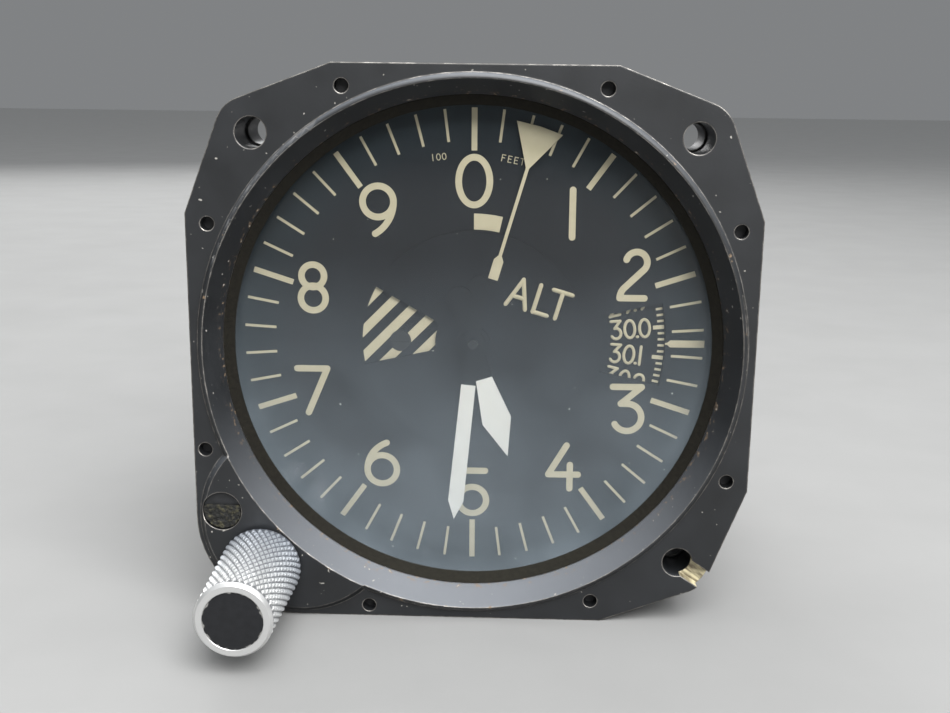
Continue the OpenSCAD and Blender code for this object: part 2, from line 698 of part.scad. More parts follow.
// A hand with its hub and the round tail that balances it
module hand_blank(bore, tail) {
    hub = bore + 2.4;
    difference() {
        union() {
            circle(d = hub);
            translate([-hub / 4, -tail]) square([hub / 2, tail]);
            translate([0, -tail]) circle(d = hub * 0.8);
            children();
        }
        circle(d = bore);
    }
}

module hundred_foot_hand() color("#e6e4de") slab(long_hand_y, long_hand_y + hand_t) rotate(-long_hand_clock)
    hand_blank(staff_d + 2 * fix_gap, 9) polygon([
        [-long_hand_w * 0.45, staff_d], [-long_hand_w / 2, long_hand - 3], [0, long_hand],
        [long_hand_w / 2, long_hand - 3], [long_hand_w * 0.45, staff_d]
    ]);

module hand_staff() color("#9a9ca0") {
    rod(staff_d, long_hand_y - hand_t, level(5) + wheel_t + 0.2);
    slab(level(4) - 0.1, level(4) + wheel_t + 0.1) gear(train_module, fast_pinion, 0);
    slab(level(5) - 0.1, level(5) + wheel_t + 0.1) gear(train_module, drive_pinion, 0);
    rod(pivot_d, level(5) + wheel_t, bridge_back - 0.1);
}

module thousand_foot_hand() color("#e6e4de") slab(short_hand_y, short_hand_y + hand_t)
    rotate(-short_hand_clock) hand_blank(thousand_sleeve_d() + 2 * fix_gap, 7) {
        neck = short_hand_w * 0.27;
        wide_y = short_hand * 0.68;
        polygon([
            [-neck, staff_d], [-neck, short_hand * 0.3], [-short_hand_w / 2, wide_y], [0, short_hand],
            [short_hand_w / 2, wide_y], [neck, short_hand * 0.3], [neck, staff_d]
        ]);
    }

module thousand_foot_sleeve() color("#c9a24a") difference() {
    union() {
        rod(thousand_sleeve_d(), short_hand_y - 0.1, level(3) + wheel_t + 0.1);
        slab(level(2) - 0.1, level(2) + wheel_t + 0.1) gear(train_module, fast_pinion, 0);
    }
    rod(thousand_sleeve_bore(), short_hand_y - 1, level(4));
}

module thousand_foot_wheel() color("#c9a24a") slab(level(3), level(3) + wheel_t)
    wheel(train_module, slow_wheel, thousand_wheel_a, thousand_sleeve_d() + 2 * fix_gap, 5);

module needle_outline(extra) {
    head_h = 6.8;
    foot_r = 12;
    translate([-0.25 - extra, foot_r]) square([0.5 + 2 * extra, needle_r - foot_r - head_h / 2]);
    polygon([[-extra, needle_r - head_h - extra], [-3.55 - extra, needle_r - 0.2], [0, needle_r],
        [3.55 + extra, needle_r - 0.2], [extra, needle_r - head_h - extra]]);
}

module ten_thousand_disc() color("#232629") slab(disc_y, disc_y + hand_t) rotate(-disc_clock) difference() {
    union() {
        circle(disc_r);
        needle_outline(0.05);
    }
    circle(d = ten_thousand_sleeve_d() + 2 * fix_gap);
    ring_sector(flag_r[0], disc_r + 1, 90 - flag_open[1], 90 - flag_open[0]);
}
// Edges of the disc's opening over the warning stripes, from the needle
flag_open = [241.2, 283.2];

module ten_thousand_marks() color("#e0dabf") slab(disc_y - ink_t, disc_y) rotate(-disc_clock) {
    needle_outline(0);
    polygon([[-0.75, 10.2], [-0.75, 13.2], [-0.3, 13.9], [0.3, 13.9], [0.75, 13.2], [0.75, 10.2]]);
}

module ten_thousand_sleeve() color("#c9a24a")
    ring(ten_thousand_sleeve_d(), ten_thousand_sleeve_bore(), disc_y - 0.1, level(1) + wheel_t + 0.1);

module ten_thousand_wheel() color("#c9a24a") slab(level(1), level(1) + wheel_t)
    wheel(train_module, slow_wheel, ten_thousand_wheel_a, ten_thousand_sleeve_d() + 2 * fix_gap, 5);

/* Plates, pillars and screws of the movement */
module pivot_hole(p) at(p) rod(pivot_d + 2 * run_gap, plate_y - 1, back_back + 1);

module main_plate() color("#b8a06a") difference() {
    union() {
        slab(plate_y, plate_back) {
            circle(case_bore_r - 0.1);
            rotate(90 - knob_clock) translate([hub_r, -3]) square([outer_idler_r + 2.5 - hub_r, 6]);
        }
        rod(2 * hub_r, dial_back, plate_back);
    }
    rod(ten_thousand_sleeve_d() + 2 * run_gap, 0, plate_back + 1);
    for (p = [first_p, second_p, drive_p]) at(p) rod(pivot_d + 2 * run_gap, plate_back - 1.1, plate_back + 1);
    for (p = pillar_places) at(p) rod(pillar_d / 2 + 2 * fix_gap, plate_y - 1, plate_back + 1);
    for (p = [outer_idler_p, inner_idler_p]) at(p) rod(pivot_d + 2 * fix_gap, plate_y - 1, plate_back + 1);
    for (s = [-1, 1]) at([s * dial_screw_r, 0]) rod(small_screw_d + 2 * fix_gap, 0, plate_back + 1);
    for (c = lug_clocks) at(clock_point(lug_r, c)) {
        rod(small_screw_d + 0.2, plate_y - 1, plate_back + 1);
        rod(2 * small_screw_d + 0.2, plate_y - 1, plate_y + 0.8);
    }
}

module main_plate_screws() color("#8d8f92") for (c = lug_clocks) at(clock_point(lug_r, c))
    pan_screw(small_screw_d, 2 * small_screw_d, -0.7, plate_y + 0.8, plate_back + lug_h - 1.5);

module front_pillars() color("#b8a06a") for (p = pillar_places) at(p) difference() {
    union() {
        rod(pillar_d, plate_back, bridge_y);
        rod(pillar_d / 2, plate_y + 0.2, plate_back);
    }
    rod(pillar_screw_d + 2 * fix_gap, bridge_y - 4, bridge_y + 1);
}

module bridge_plate() color("#b8a06a") difference() {
    rod(bridge_d, bridge_y, bridge_back);
    for (p = [[0, 0], first_p, second_p, rocking_p]) pivot_hole(p);
    at(drive_p) rod(arbor_d + 1, bridge_y - 1, bridge_back + 1);
    for (p = pillar_places) at(p) rod(pillar_screw_d + 0.2, bridge_y - 1, bridge_back + 1);
    for (p = [[-14, 22], [24, -6], [2, -24]]) at(p) rod(10, bridge_y - 1, bridge_back + 1);
}

module rear_pillars() color("#b8a06a") for (p = pillar_places) at(p)
    ring(pillar_d, pillar_screw_d + 0.2, bridge_back, back_y);

module back_plate() color("#b8a06a") difference() {
    rod(bridge_d, back_y, back_back);
    pivot_hole(drive_p);
    at(rocking_p) rod(rocking_d + 2 * run_gap, back_y - 1, back_back + 1);
    for (p = pillar_places) at(p) rod(pillar_screw_d + 0.2, back_y - 1, back_back + 1);
    for (p = cock_places) at(p) rod(small_screw_d + 2 * fix_gap, back_y - 1, back_back + 1);
    for (p = bracket_screw_places) at(p) rod(small_screw_d + 2 * fix_gap, back_y - 1, back_back + 1);
    at(stud_p) rod(pivot_d + 2 * fix_gap, back_y - 1, back_back + 1);
}

module pillar_screws() color("#8d8f92") for (p = pillar_places) at(p)
    pan_screw(pillar_screw_d, 2 * pillar_screw_d, 0.6 * pillar_screw_d, back_back, bridge_y - 3.5);

/* Reduction train, drive train and rocking shaft */
module arbor(y0, y1, foot, head) {
    rod(arbor_d, y0, y1);
    rod(pivot_d, foot, y0 + 0.1);
    rod(pivot_d, y1 - 0.1, head);
}
module reduction_arbor(p, angle, n) at(p) {
    arbor(plate_back + 0.2, bridge_y - 0.2, plate_back - 1, bridge_back - 0.1);
    slab(level(n) - 0.1, level(n) + wheel_t + 0.1) gear(train_module, slow_pinion, angle);
}
module first_reduction_arbor() color("#9a9ca0") reduction_arbor(first_p, first_pinion_a, 3);
module second_reduction_arbor() color("#9a9ca0") reduction_arbor(second_p, second_pinion_a, 1);
module first_reduction_wheel() color("#c9a24a") at(first_p) slab(level(4), level(4) + wheel_t)
    wheel(train_module, fast_wheel, first_wheel_a, arbor_d + 2 * fix_gap, 4);
module second_reduction_wheel() color("#c9a24a") at(second_p) slab(level(2), level(2) + wheel_t)
    wheel(train_module, fast_wheel, second_wheel_a, arbor_d + 2 * fix_gap, 4);

module drive_arbor() color("#9a9ca0") at(drive_p) {
    arbor(plate_back + 0.2, back_y - 0.2, plate_back - 1, hairspring_y + hairspring_h + 0.3);
    slab(sector_y - 0.1, sector_y + sector_t + 0.1) gear(sector_module, sector_pinion, sector_pinion_a);
}
module drive_wheel() color("#c9a24a") at(drive_p) slab(level(5), level(5) + wheel_t)
    wheel(train_module, drive_teeth, drive_wheel_a, arbor_d + 2 * fix_gap, 6);

module sector_gear() color("#c9a24a") at(rocking_p) slab(sector_y, sector_y + sector_t) {
    pitch_a = 360 / sector_teeth;
    half_a = (sector_half_teeth + 0.5) * pitch_a;
    rim_r = sector_r - 2.2;
    difference() {
        union() {
            polygon(concat([[0, 0]], [
                for (i = [-sector_half_teeth:sector_half_teeth]) each
                    tooth(sector_module, sector_teeth, sector_mid + i * pitch_a)
            ]));
            circle(d = 2 * rocking_d + 2);
        }
        circle(d = rocking_d + 2 * fix_gap);
        for (s = [-1, 1]) ring_sector(rocking_d + 2.4, rim_r, sector_mid + s * half_a / 2 - half_a * 0.38,
            sector_mid + s * half_a / 2 + half_a * 0.38);
    }
}

arm_y = capsule_y - yoke_t / 2 - 0.4 - 1.2;
module rocking_shaft() color("#9a9ca0") {
    at(rocking_p) {
        rod(rocking_d, bridge_back + 0.2, cock_y - 0.2);
        rod(pivot_d, bridge_y + 0.1, bridge_back + 0.3);
        rod(pivot_d, cock_y - 0.3, cock_y + bracket_t);
        slab(arm_y, arm_y + 1.2) rotate(arm_angle) {
            circle(d = rocking_d + 2);
            translate([0, -pin_d * 0.9]) square([arm_throw, pin_d * 1.8]);
            translate([arm_throw, 0]) circle(d = pin_d * 1.8);
        }
    }
    at(pin_p) rod(pin_d, arm_y, capsule_y + yoke_t / 2 + 0.6);
}

/* Aneroid capsules, their bracket and the yoke that they push */
module capsule_yoke() color("#b8bcc0") {
    slab(capsule_y - yoke_t / 2, capsule_y + yoke_t / 2) difference() {
        side = 1.2;
        top = rocking_p.y + arm_throw + pin_d / 2 + 0.3 + side;
        foot = rocking_p.y + rocking_d / 2 + 0.6;
        translate([pin_p.x - yoke_slot / 2 - side, foot]) square([yoke_slot + 2 * side, top - foot]);
        translate([pin_p.x - yoke_slot / 2, foot - 1]) square([yoke_slot, top - side - foot + 1]);
    }
    translate([capsule_end_x, capsule_y, yoke_axis_z]) rotate([0, 90, 0])
        cylinder(d = yoke_t, h = pin_p.x - yoke_slot / 2 - capsule_end_x - 0.4);
}

// Half outline of one capsule: corrugated faces that meet at a thin welded rim
module capsule_half() {
    steps = 40;
    rim_r = capsule_d / 2;
    wave = 0.35;
    waves = 4.5;
    function bulge(r) = capsule_t / 2 * (1 - pow(r / rim_r, 6) * 0.85) - 0.4;
    function face(r) = bulge(r) + wave * cos(r / rim_r * 360 * waves);
    radii = [for (i = [0:steps]) rim_r * i / steps];
    hub_d = 5;
    polygon(concat([for (r = radii) [r, face(r)]], [for (i = [steps:-1:0]) [radii[i], -face(radii[i])]]));
    translate([0, -capsule_t / 2]) square([hub_d / 2, capsule_t]);
}
module aneroid_capsules() color("#c2a878") translate([capsule_base_x + capsule_stud, capsule_y, yoke_axis_z])
    rotate([0, 90, 0]) {
        for (i = [0, 1]) translate([0, 0, (i + 0.5) * capsule_t]) rotate_extrude() capsule_half();
        translate([0, 0, -capsule_stud]) cylinder(d = 4, h = capsule_stud + 0.5);
    }

bracket_screw_places = [for (s = [-1, 1]) [capsule_base_x + 4.5, yoke_axis_z + s * bracket_half_h * 0.6]];
module capsule_bracket() color("#8d8f92") difference() {
    union() {
        translate([capsule_base_x - bracket_t, back_back, yoke_axis_z - bracket_half_h])
            cube([bracket_t, capsule_y + bracket_half_h - back_back, 2 * bracket_half_h]);
        translate([capsule_base_x - bracket_t, back_back, yoke_axis_z - bracket_half_h])
            cube([bracket_t + 7.5, bracket_t, 2 * bracket_half_h]);
    }
    for (p = bracket_screw_places) at(p) rod(small_screw_d + 0.2, back_back - 1, back_back + bracket_t + 1);
}
module bracket_screws() color("#8d8f92") for (p = bracket_screw_places) at(p)
    pan_screw(small_screw_d, 1.8 * small_screw_d, 0.9, back_back + bracket_t, back_y + 0.2);

cock_y = capsule_y + 6;
module cock_outline() {
    for (p = concat(cock_places, [rocking_p])) translate(p) circle(d = pillar_d + 1);
    polygon(concat(cock_places, [rocking_p + [-0.6, -1.8], rocking_p + [-0.6, 1.8]]));
}
module rear_cock() color("#b8a06a") difference() {
    slab(cock_y, cock_y + bracket_t) cock_outline();
    at(rocking_p) rod(pivot_d + 2 * run_gap, cock_y - 1, cock_y + bracket_t + 1);
    for (p = cock_places) at(p) rod(small_screw_d + 0.2, cock_y - 1, cock_y + bracket_t + 1);
}
module cock_posts() color("#b8a06a") for (p = cock_places) at(p) difference() {
    union() {
        rod(pillar_d, back_back, cock_y);
        rod(small_screw_d, back_y + 0.2, back_back);
    }
    rod(small_screw_d + 2 * fix_gap, cock_y - 5, cock_y + 1);
}
module cock_screws() color("#8d8f92") for (p = cock_places) at(p)
    pan_screw(small_screw_d, 1.8 * small_screw_d, 0.9, cock_y + bracket_t, cock_y - 4.5);

// Flat spiral spring that takes up the backlash, from the drive arbor's end to a stud on the back plate
hairspring_y = back_back + 0.8;
hairspring_h = 1;
spring_t = 0.2;
spring_turns = 5;
collet_d = 3.2;
spring_inner_r = collet_d / 2 + 0.15;
spring_pitch = 1.05;
spring_outer_r = spring_inner_r + spring_turns * spring_pitch;
stud_p = drive_p + [spring_outer_r + pivot_d / 2 + spring_t / 2 + 0.05, 0];
function spiral(offset) = [for (i = [0:24 * spring_turns])
    polar(spring_inner_r + spring_pitch * i / 24 + offset, i * 15)];
function reversed(list) = [for (i = [len(list) - 1:-1:0]) list[i]];
module hairspring() color("#6f7f9a") at(drive_p) slab(hairspring_y, hairspring_y + hairspring_h)
    polygon(concat(spiral(spring_t / 2), reversed(spiral(-spring_t / 2))));
module hairspring_collet() color("#c9a24a") at(drive_p)
    ring(collet_d, pivot_d + 2 * fix_gap, hairspring_y, hairspring_y + hairspring_h);
module hairspring_stud() color("#b8a06a") at(stud_p)
    rod(pivot_d, back_y + 0.2, hairspring_y + hairspring_h + 0.2);

front_frame();
glass_gasket();
glass();
glass_seat();
case_body();
case_screws();
lock_screw();
knob_bush();
knob_seal();
setting_knob();
knob_cap();
knob_shaft();
outer_idler();
inner_idler();
idler_posts();
setting_scale();
setting_scale_marks();
dial();
dial_marks();
dial_screws();
hundred_foot_hand();
hand_staff();
thousand_foot_hand();
thousand_foot_sleeve();
thousand_foot_wheel();
ten_thousand_disc();
ten_thousand_marks();
ten_thousand_sleeve();
ten_thousand_wheel();
main_plate();
main_plate_screws();
front_pillars();
bridge_plate();
rear_pillars();
back_plate();
pillar_screws();
first_reduction_arbor();
first_reduction_wheel();
second_reduction_arbor();
second_reduction_wheel();
drive_arbor();
drive_wheel();
sector_gear();
rocking_shaft();
capsule_yoke();
aneroid_capsules();
capsule_bracket();
bracket_screws();
rear_cock();
cock_posts();
cock_screws();
hairspring();
hairspring_collet();
hairspring_stud();
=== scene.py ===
import math

import bmesh
import bpy
from mathutils import Matrix, Vector


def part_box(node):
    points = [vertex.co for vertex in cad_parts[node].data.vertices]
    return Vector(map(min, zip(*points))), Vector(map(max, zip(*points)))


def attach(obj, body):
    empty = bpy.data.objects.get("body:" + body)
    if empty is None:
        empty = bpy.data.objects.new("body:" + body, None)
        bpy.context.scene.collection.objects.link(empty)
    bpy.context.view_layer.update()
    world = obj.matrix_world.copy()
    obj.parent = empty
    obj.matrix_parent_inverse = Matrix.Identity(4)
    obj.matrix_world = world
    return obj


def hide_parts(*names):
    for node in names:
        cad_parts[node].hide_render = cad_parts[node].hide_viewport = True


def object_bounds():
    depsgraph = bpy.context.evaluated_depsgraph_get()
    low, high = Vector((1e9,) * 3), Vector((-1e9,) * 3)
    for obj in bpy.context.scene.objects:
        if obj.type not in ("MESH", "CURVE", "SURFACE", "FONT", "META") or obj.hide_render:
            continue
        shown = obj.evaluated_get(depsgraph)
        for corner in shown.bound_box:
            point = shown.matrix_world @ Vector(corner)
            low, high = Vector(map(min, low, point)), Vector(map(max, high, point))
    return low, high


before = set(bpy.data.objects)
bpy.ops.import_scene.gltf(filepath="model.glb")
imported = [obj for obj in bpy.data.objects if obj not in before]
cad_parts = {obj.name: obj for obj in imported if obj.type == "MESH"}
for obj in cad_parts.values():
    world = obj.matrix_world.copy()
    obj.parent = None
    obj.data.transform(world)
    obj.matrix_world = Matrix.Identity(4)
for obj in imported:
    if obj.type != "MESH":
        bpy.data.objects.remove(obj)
cad_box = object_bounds()


# Case body: a cast aluminium can with a square flange, sprayed with satin black enamel.
# The flange takes the front frame and its screws, and the can holds the whole movement.
MM = 0.001


def linear(hex_colour):
    parts = [int(hex_colour[i:i + 2], 16) / 255 for i in (1, 3, 5)]
    return [p / 12.92 if p <= 0.04045 else ((p + 0.055) / 1.055) ** 2.4 for p in parts] + [1]


def add(tree, kind, inputs, **settings):
    made = tree.nodes.new(kind)
    for name, value in settings.items():
        setattr(made, name, value)
    for name, value in inputs.items():
        if isinstance(value, bpy.types.NodeSocket):
            tree.links.new(value, made.inputs[name])
        else:
            made.inputs[name].default_value = value
    return made


def new_material(name):
    material = bpy.data.materials.new(name)
    material.use_nodes = True
    tree = material.node_tree
    place = add(tree, "ShaderNodeTexCoord", {}).outputs["Object"]
    return material, tree, tree.nodes["Principled BSDF"], place


def dress(material, *nodes):
    for name in nodes:
        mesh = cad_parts[name].data
        mesh.materials.clear()
        mesh.materials.append(material)


# Satin enamel: a dark film with faint mottling and a fine orange peel, under dust on what faces up.
# Handling has rubbed it thin along the edges and left a few pale specks.
enamel, tree, shader, place = new_material("satin black enamel")
shader.inputs["Specular IOR Level"].default_value = 0.32
mottle = add(tree, "ShaderNodeTexNoise", {"Vector": place, "Scale": 1 / (9 * MM), "Detail": 6.0})
film = add(tree, "ShaderNodeMix", {"Factor": mottle.outputs["Fac"], "A": linear("#0c0d0e"),
                                   "B": linear("#17181a")}, data_type="RGBA")
shape = add(tree, "ShaderNodeNewGeometry", {})
facing = add(tree, "ShaderNodeSeparateXYZ", {"Vector": shape.outputs["Normal"]})
faces_up = add(tree, "ShaderNodeMapRange", {"Value": facing.outputs["Z"], "From Min": 0.3, "From Max": 1.0,
                                           "To Max": 0.16})
paler_above = add(tree, "ShaderNodeMix", {"Factor": faces_up.outputs["Result"], "A": film.outputs[2],
                                     "B": linear("#7d828b")}, data_type="RGBA")
# The Bevel node turns away from the true normal only near an edge, which is where enamel rubs off
edge = add(tree, "ShaderNodeBevel", {"Radius": 0.5 * MM}, samples=8)
turned = add(tree, "ShaderNodeVectorMath", {0: edge.outputs["Normal"], 1: shape.outputs["True Normal"]},
             operation="DOT_PRODUCT")
rubbed = add(tree, "ShaderNodeMapRange", {"Value": turned.outputs["Value"], "From Min": 0.98,
                                          "From Max": 0.84, "To Max": 0.7})
chip = add(tree, "ShaderNodeTexNoise", {"Vector": place, "Scale": 1 / (1.5 * MM), "Detail": 8.0})
chips = add(tree, "ShaderNodeMapRange", {"Value": chip.outputs["Fac"], "From Min": 0.44, "From Max": 0.66,
                                         "To Min": 0.2})
bare = add(tree, "ShaderNodeMath", {0: rubbed.outputs["Result"], 1: chips.outputs["Result"]},
           operation="MULTIPLY")
edged = add(tree, "ShaderNodeMix", {"Factor": bare.outputs["Value"], "A": paler_above.outputs[2],
                                    "B": linear("#b2aea6")}, data_type="RGBA")
grit = add(tree, "ShaderNodeTexNoise", {"Vector": place, "Scale": 1 / (1.1 * MM), "Detail": 1.0})
speck = add(tree, "ShaderNodeMapRange", {"Value": grit.outputs["Fac"], "From Min": 0.77, "From Max": 0.82})
specked = add(tree, "ShaderNodeMix", {"Factor": speck.outputs["Result"], "A": edged.outputs[2],
                                      "B": linear("#8f8c86")}, data_type="RGBA")
tree.links.new(specked.outputs[2], shader.inputs["Base Color"])
tree.links.new(bare.outputs["Value"], shader.inputs["Metallic"])
gloss = add(tree, "ShaderNodeMapRange", {"Value": mottle.outputs["Fac"], "To Min": 0.34, "To Max": 0.54})
tree.links.new(gloss.outputs["Result"], shader.inputs["Roughness"])
peel = add(tree, "ShaderNodeTexNoise", {"Vector": place, "Scale": 1 / (0.5 * MM), "Detail": 2.0})
skin = add(tree, "ShaderNodeBump", {"Height": peel.outputs["Fac"], "Strength": 0.12, "Distance": 0.05 * MM,
                                    "Normal": edge.outputs["Normal"]})
tree.links.new(skin.outputs["Normal"], shader.inputs["Normal"])
dress(enamel, "case_body")

# Movement plates: brass sheet, brushed flat, held apart by turned pillars and long screws.
# The rear cock and the capsules' bracket stand on the back plate.
# Brushed brass: warm yellow metal, streaked along the brush's strokes.
plate_brass, tree, shader, place = new_material("brushed brass")
grain_place = add(tree, "ShaderNodeMapping", {"Vector": place, "Scale": (1.0, 1.0, 14.0)})
grain = add(tree, "ShaderNodeTexNoise", {"Vector": grain_place.outputs["Vector"], "Scale": 1 / (2.5 * MM),
                                         "Detail": 4.0})
tint = add(tree, "ShaderNodeMix", {"Factor": grain.outputs["Fac"], "A": linear("#a98a4c"),
                                   "B": linear("#cdb27a")}, data_type="RGBA")
tree.links.new(tint.outputs[2], shader.inputs["Base Color"])
shader.inputs["Metallic"].default_value = 1.0
gloss = add(tree, "ShaderNodeMapRange", {"Value": grain.outputs["Fac"], "To Min": 0.25, "To Max": 0.42})
tree.links.new(gloss.outputs["Result"], shader.inputs["Roughness"])
dress(plate_brass, "main_plate", "bridge_plate", "back_plate", "front_pillars", "rear_pillars", "rear_cock",
      "cock_posts", "hairspring_stud")

# Turned steel: cool grey metal whose shine varies a little with the tool's marks.
steel, tree, shader, place = new_material("turned steel")
rings = add(tree, "ShaderNodeTexNoise", {"Vector": place, "Scale": 1 / (1.2 * MM), "Detail": 3.0})
tint = add(tree, "ShaderNodeMix", {"Factor": rings.outputs["Fac"], "A": linear("#85878b"),
                                   "B": linear("#b4b6b9")}, data_type="RGBA")
tree.links.new(tint.outputs[2], shader.inputs["Base Color"])
shader.inputs["Metallic"].default_value = 1.0
gloss = add(tree, "ShaderNodeMapRange", {"Value": rings.outputs["Fac"], "To Min": 0.22, "To Max": 0.38})
tree.links.new(gloss.outputs["Result"], shader.inputs["Roughness"])
dress(steel, "main_plate_screws", "pillar_screws", "capsule_bracket", "bracket_screws", "cock_screws",
      "idler_posts", "first_reduction_arbor", "second_reduction_arbor", "drive_arbor", "rocking_shaft",
      "capsule_yoke", "knob_shaft")

# Aneroid capsules: two thin corrugated shells of rolled copper alloy, soldered at the rim.
# Heat has left the metal a little uneven in colour.
capsule_alloy, tree, shader, place = new_material("rolled copper alloy")
bloom = add(tree, "ShaderNodeTexNoise", {"Vector": place, "Scale": 1 / (6 * MM), "Detail": 5.0})
tint = add(tree, "ShaderNodeMix", {"Factor": bloom.outputs["Fac"], "A": linear("#a67b4e"),
                                   "B": linear("#d0b078")}, data_type="RGBA")
tree.links.new(tint.outputs[2], shader.inputs["Base Color"])
shader.inputs["Metallic"].default_value = 1.0
shader.inputs["Roughness"].default_value = 0.33
dress(capsule_alloy, "aneroid_capsules")

# Wheels and sleeves: cut from hard brass, brighter than the plates.
# The hairspring behind the drive arbor is blued steel.
wheel_brass, tree, shader, place = new_material("cut brass")
cut = add(tree, "ShaderNodeTexNoise", {"Vector": place, "Scale": 1 / (0.8 * MM), "Detail": 3.0})
tint = add(tree, "ShaderNodeMix", {"Factor": cut.outputs["Fac"], "A": linear("#b8903c"),
                                   "B": linear("#dcbc6c")}, data_type="RGBA")
tree.links.new(tint.outputs[2], shader.inputs["Base Color"])
shader.inputs["Metallic"].default_value = 1.0
shader.inputs["Roughness"].default_value = 0.28
dress(wheel_brass, "outer_idler", "inner_idler", "thousand_foot_sleeve", "thousand_foot_wheel",
      "ten_thousand_sleeve", "ten_thousand_wheel", "first_reduction_wheel", "second_reduction_wheel",
      "drive_wheel", "sector_gear", "hairspring_collet", "knob_bush")

# Blued steel: heat has given it a clouded blue skin with a sharp shine.
blued, tree, shader, place = new_material("blued spring steel")
heat = add(tree, "ShaderNodeTexNoise", {"Vector": place, "Scale": 1 / (3 * MM), "Detail": 2.0})
tint = add(tree, "ShaderNodeMix", {"Factor": heat.outputs["Fac"], "A": linear("#2b3f73"),
                                   "B": linear("#5f6fa0")}, data_type="RGBA")
tree.links.new(tint.outputs[2], shader.inputs["Base Color"])
shader.inputs["Metallic"].default_value = 1.0
shader.inputs["Roughness"].default_value = 0.25
dress(blued, "hairspring")


# Setting scale and dial: thin aluminium discs in matte black paint, a little teal towards the rim.
# Dust that has settled inside the case shows as pale specks.
def from_axis(tree, place):
    # Distance from the Y axis: the hands' axis, or the knob's once place is centred on it
    flat = add(tree, "ShaderNodeVectorMath", {0: place, 1: (1.0, 0.0, 1.0)}, operation="MULTIPLY")
    length = add(tree, "ShaderNodeVectorMath", {0: flat.outputs["Vector"]}, operation="LENGTH")
    return length.outputs["Value"]


TEAL_FROM = 27 * MM
TEAL_FULL = 38 * MM
dial_black, tree, shader, place = new_material("matte dial paint")
shader.inputs["Specular IOR Level"].default_value = 0.25
rim = add(tree, "ShaderNodeMapRange", {"Value": from_axis(tree, place), "From Min": TEAL_FROM,
                                       "From Max": TEAL_FULL})
cloud = add(tree, "ShaderNodeTexNoise", {"Vector": place, "Scale": 1 / (7 * MM), "Detail": 6.0})
paint = add(tree, "ShaderNodeMix", {"Factor": cloud.outputs["Fac"], "A": linear("#181b1f"),
                                    "B": linear("#23282d")}, data_type="RGBA")
teal = add(tree, "ShaderNodeMix", {"Factor": rim.outputs["Result"], "A": paint.outputs[2],
                                   "B": linear("#202d33")}, data_type="RGBA")
grit = add(tree, "ShaderNodeTexNoise", {"Vector": place, "Scale": 1 / (0.9 * MM), "Detail": 1.0})
speck = add(tree, "ShaderNodeMapRange", {"Value": grit.outputs["Fac"], "From Min": 0.80, "From Max": 0.83})
dusty = add(tree, "ShaderNodeMix", {"Factor": speck.outputs["Result"], "A": teal.outputs[2],
                                    "B": linear("#a8a79c")}, data_type="RGBA")
tree.links.new(dusty.outputs[2], shader.inputs["Base Color"])
shader.inputs["Roughness"].default_value = 0.75
dress(dial_black, "setting_scale", "dial", "ten_thousand_disc")


# Cream luminous print: thick matte ink, yellowed unevenly with age.
def aged_ink(tree, place):
    patch = add(tree, "ShaderNodeTexNoise", {"Vector": place, "Scale": 1 / (1.6 * MM), "Detail": 4.0})
    ink = add(tree, "ShaderNodeMix", {"Factor": patch.outputs["Fac"], "A": linear("#c4ba99"),
                                      "B": linear("#d6ccb0")}, data_type="RGBA")
    return ink.outputs[2]


cream, tree, shader, place = new_material("cream luminous print")
tree.links.new(aged_ink(tree, place), shader.inputs["Base Color"])
shader.inputs["Roughness"].default_value = 0.8
dress(cream, "setting_scale_marks", "ten_thousand_marks")

# On the dial the print is painted out where the warning stripes end, in line with the edge of the disc.
dial_print, tree, shader, place = new_material("cream luminous print, dial")
STRIPES_END = 17.0 * MM
PAINTED_OUT = 0.8 * MM
STRIPES_SIDE = -6 * MM
past_end = add(tree, "ShaderNodeMath", {0: from_axis(tree, place), 1: STRIPES_END + PAINTED_OUT / 2,
                                        2: PAINTED_OUT / 2}, operation="COMPARE")
axes = add(tree, "ShaderNodeSeparateXYZ", {"Vector": place})
stripes_here = add(tree, "ShaderNodeMath", {0: axes.outputs["X"], 1: STRIPES_SIDE}, operation="LESS_THAN")
painted = add(tree, "ShaderNodeMath", {0: past_end.outputs["Value"], 1: stripes_here.outputs["Value"]},
              operation="MULTIPLY")
trimmed = add(tree, "ShaderNodeMix", {"Factor": painted.outputs["Value"], "A": aged_ink(tree, place),
                                      "B": linear("#1e2226")}, data_type="RGBA")
tree.links.new(trimmed.outputs[2], shader.inputs["Base Color"])
shader.inputs["Roughness"].default_value = 0.8
dress(dial_print, "dial_marks")

# Figures of the setting scale, printed beside its ticks, one for each tenth of an inch of mercury.
# Each is drawn with a round pen, as an engraving machine does, and pressed to the thickness of ink.
ARC_STEP = 18
LEAST_STEPS = 4


def bow(x, y, rx, ry, start, stop):
    # Points along part of an ellipse, between two angles in degrees
    steps = max(LEAST_STEPS, round(abs(stop - start) / ARC_STEP))
    turn = [math.radians(start + (stop - start) * i / steps) for i in range(steps + 1)]
    return [(x + rx * math.cos(a), y + ry * math.sin(a)) for a in turn]


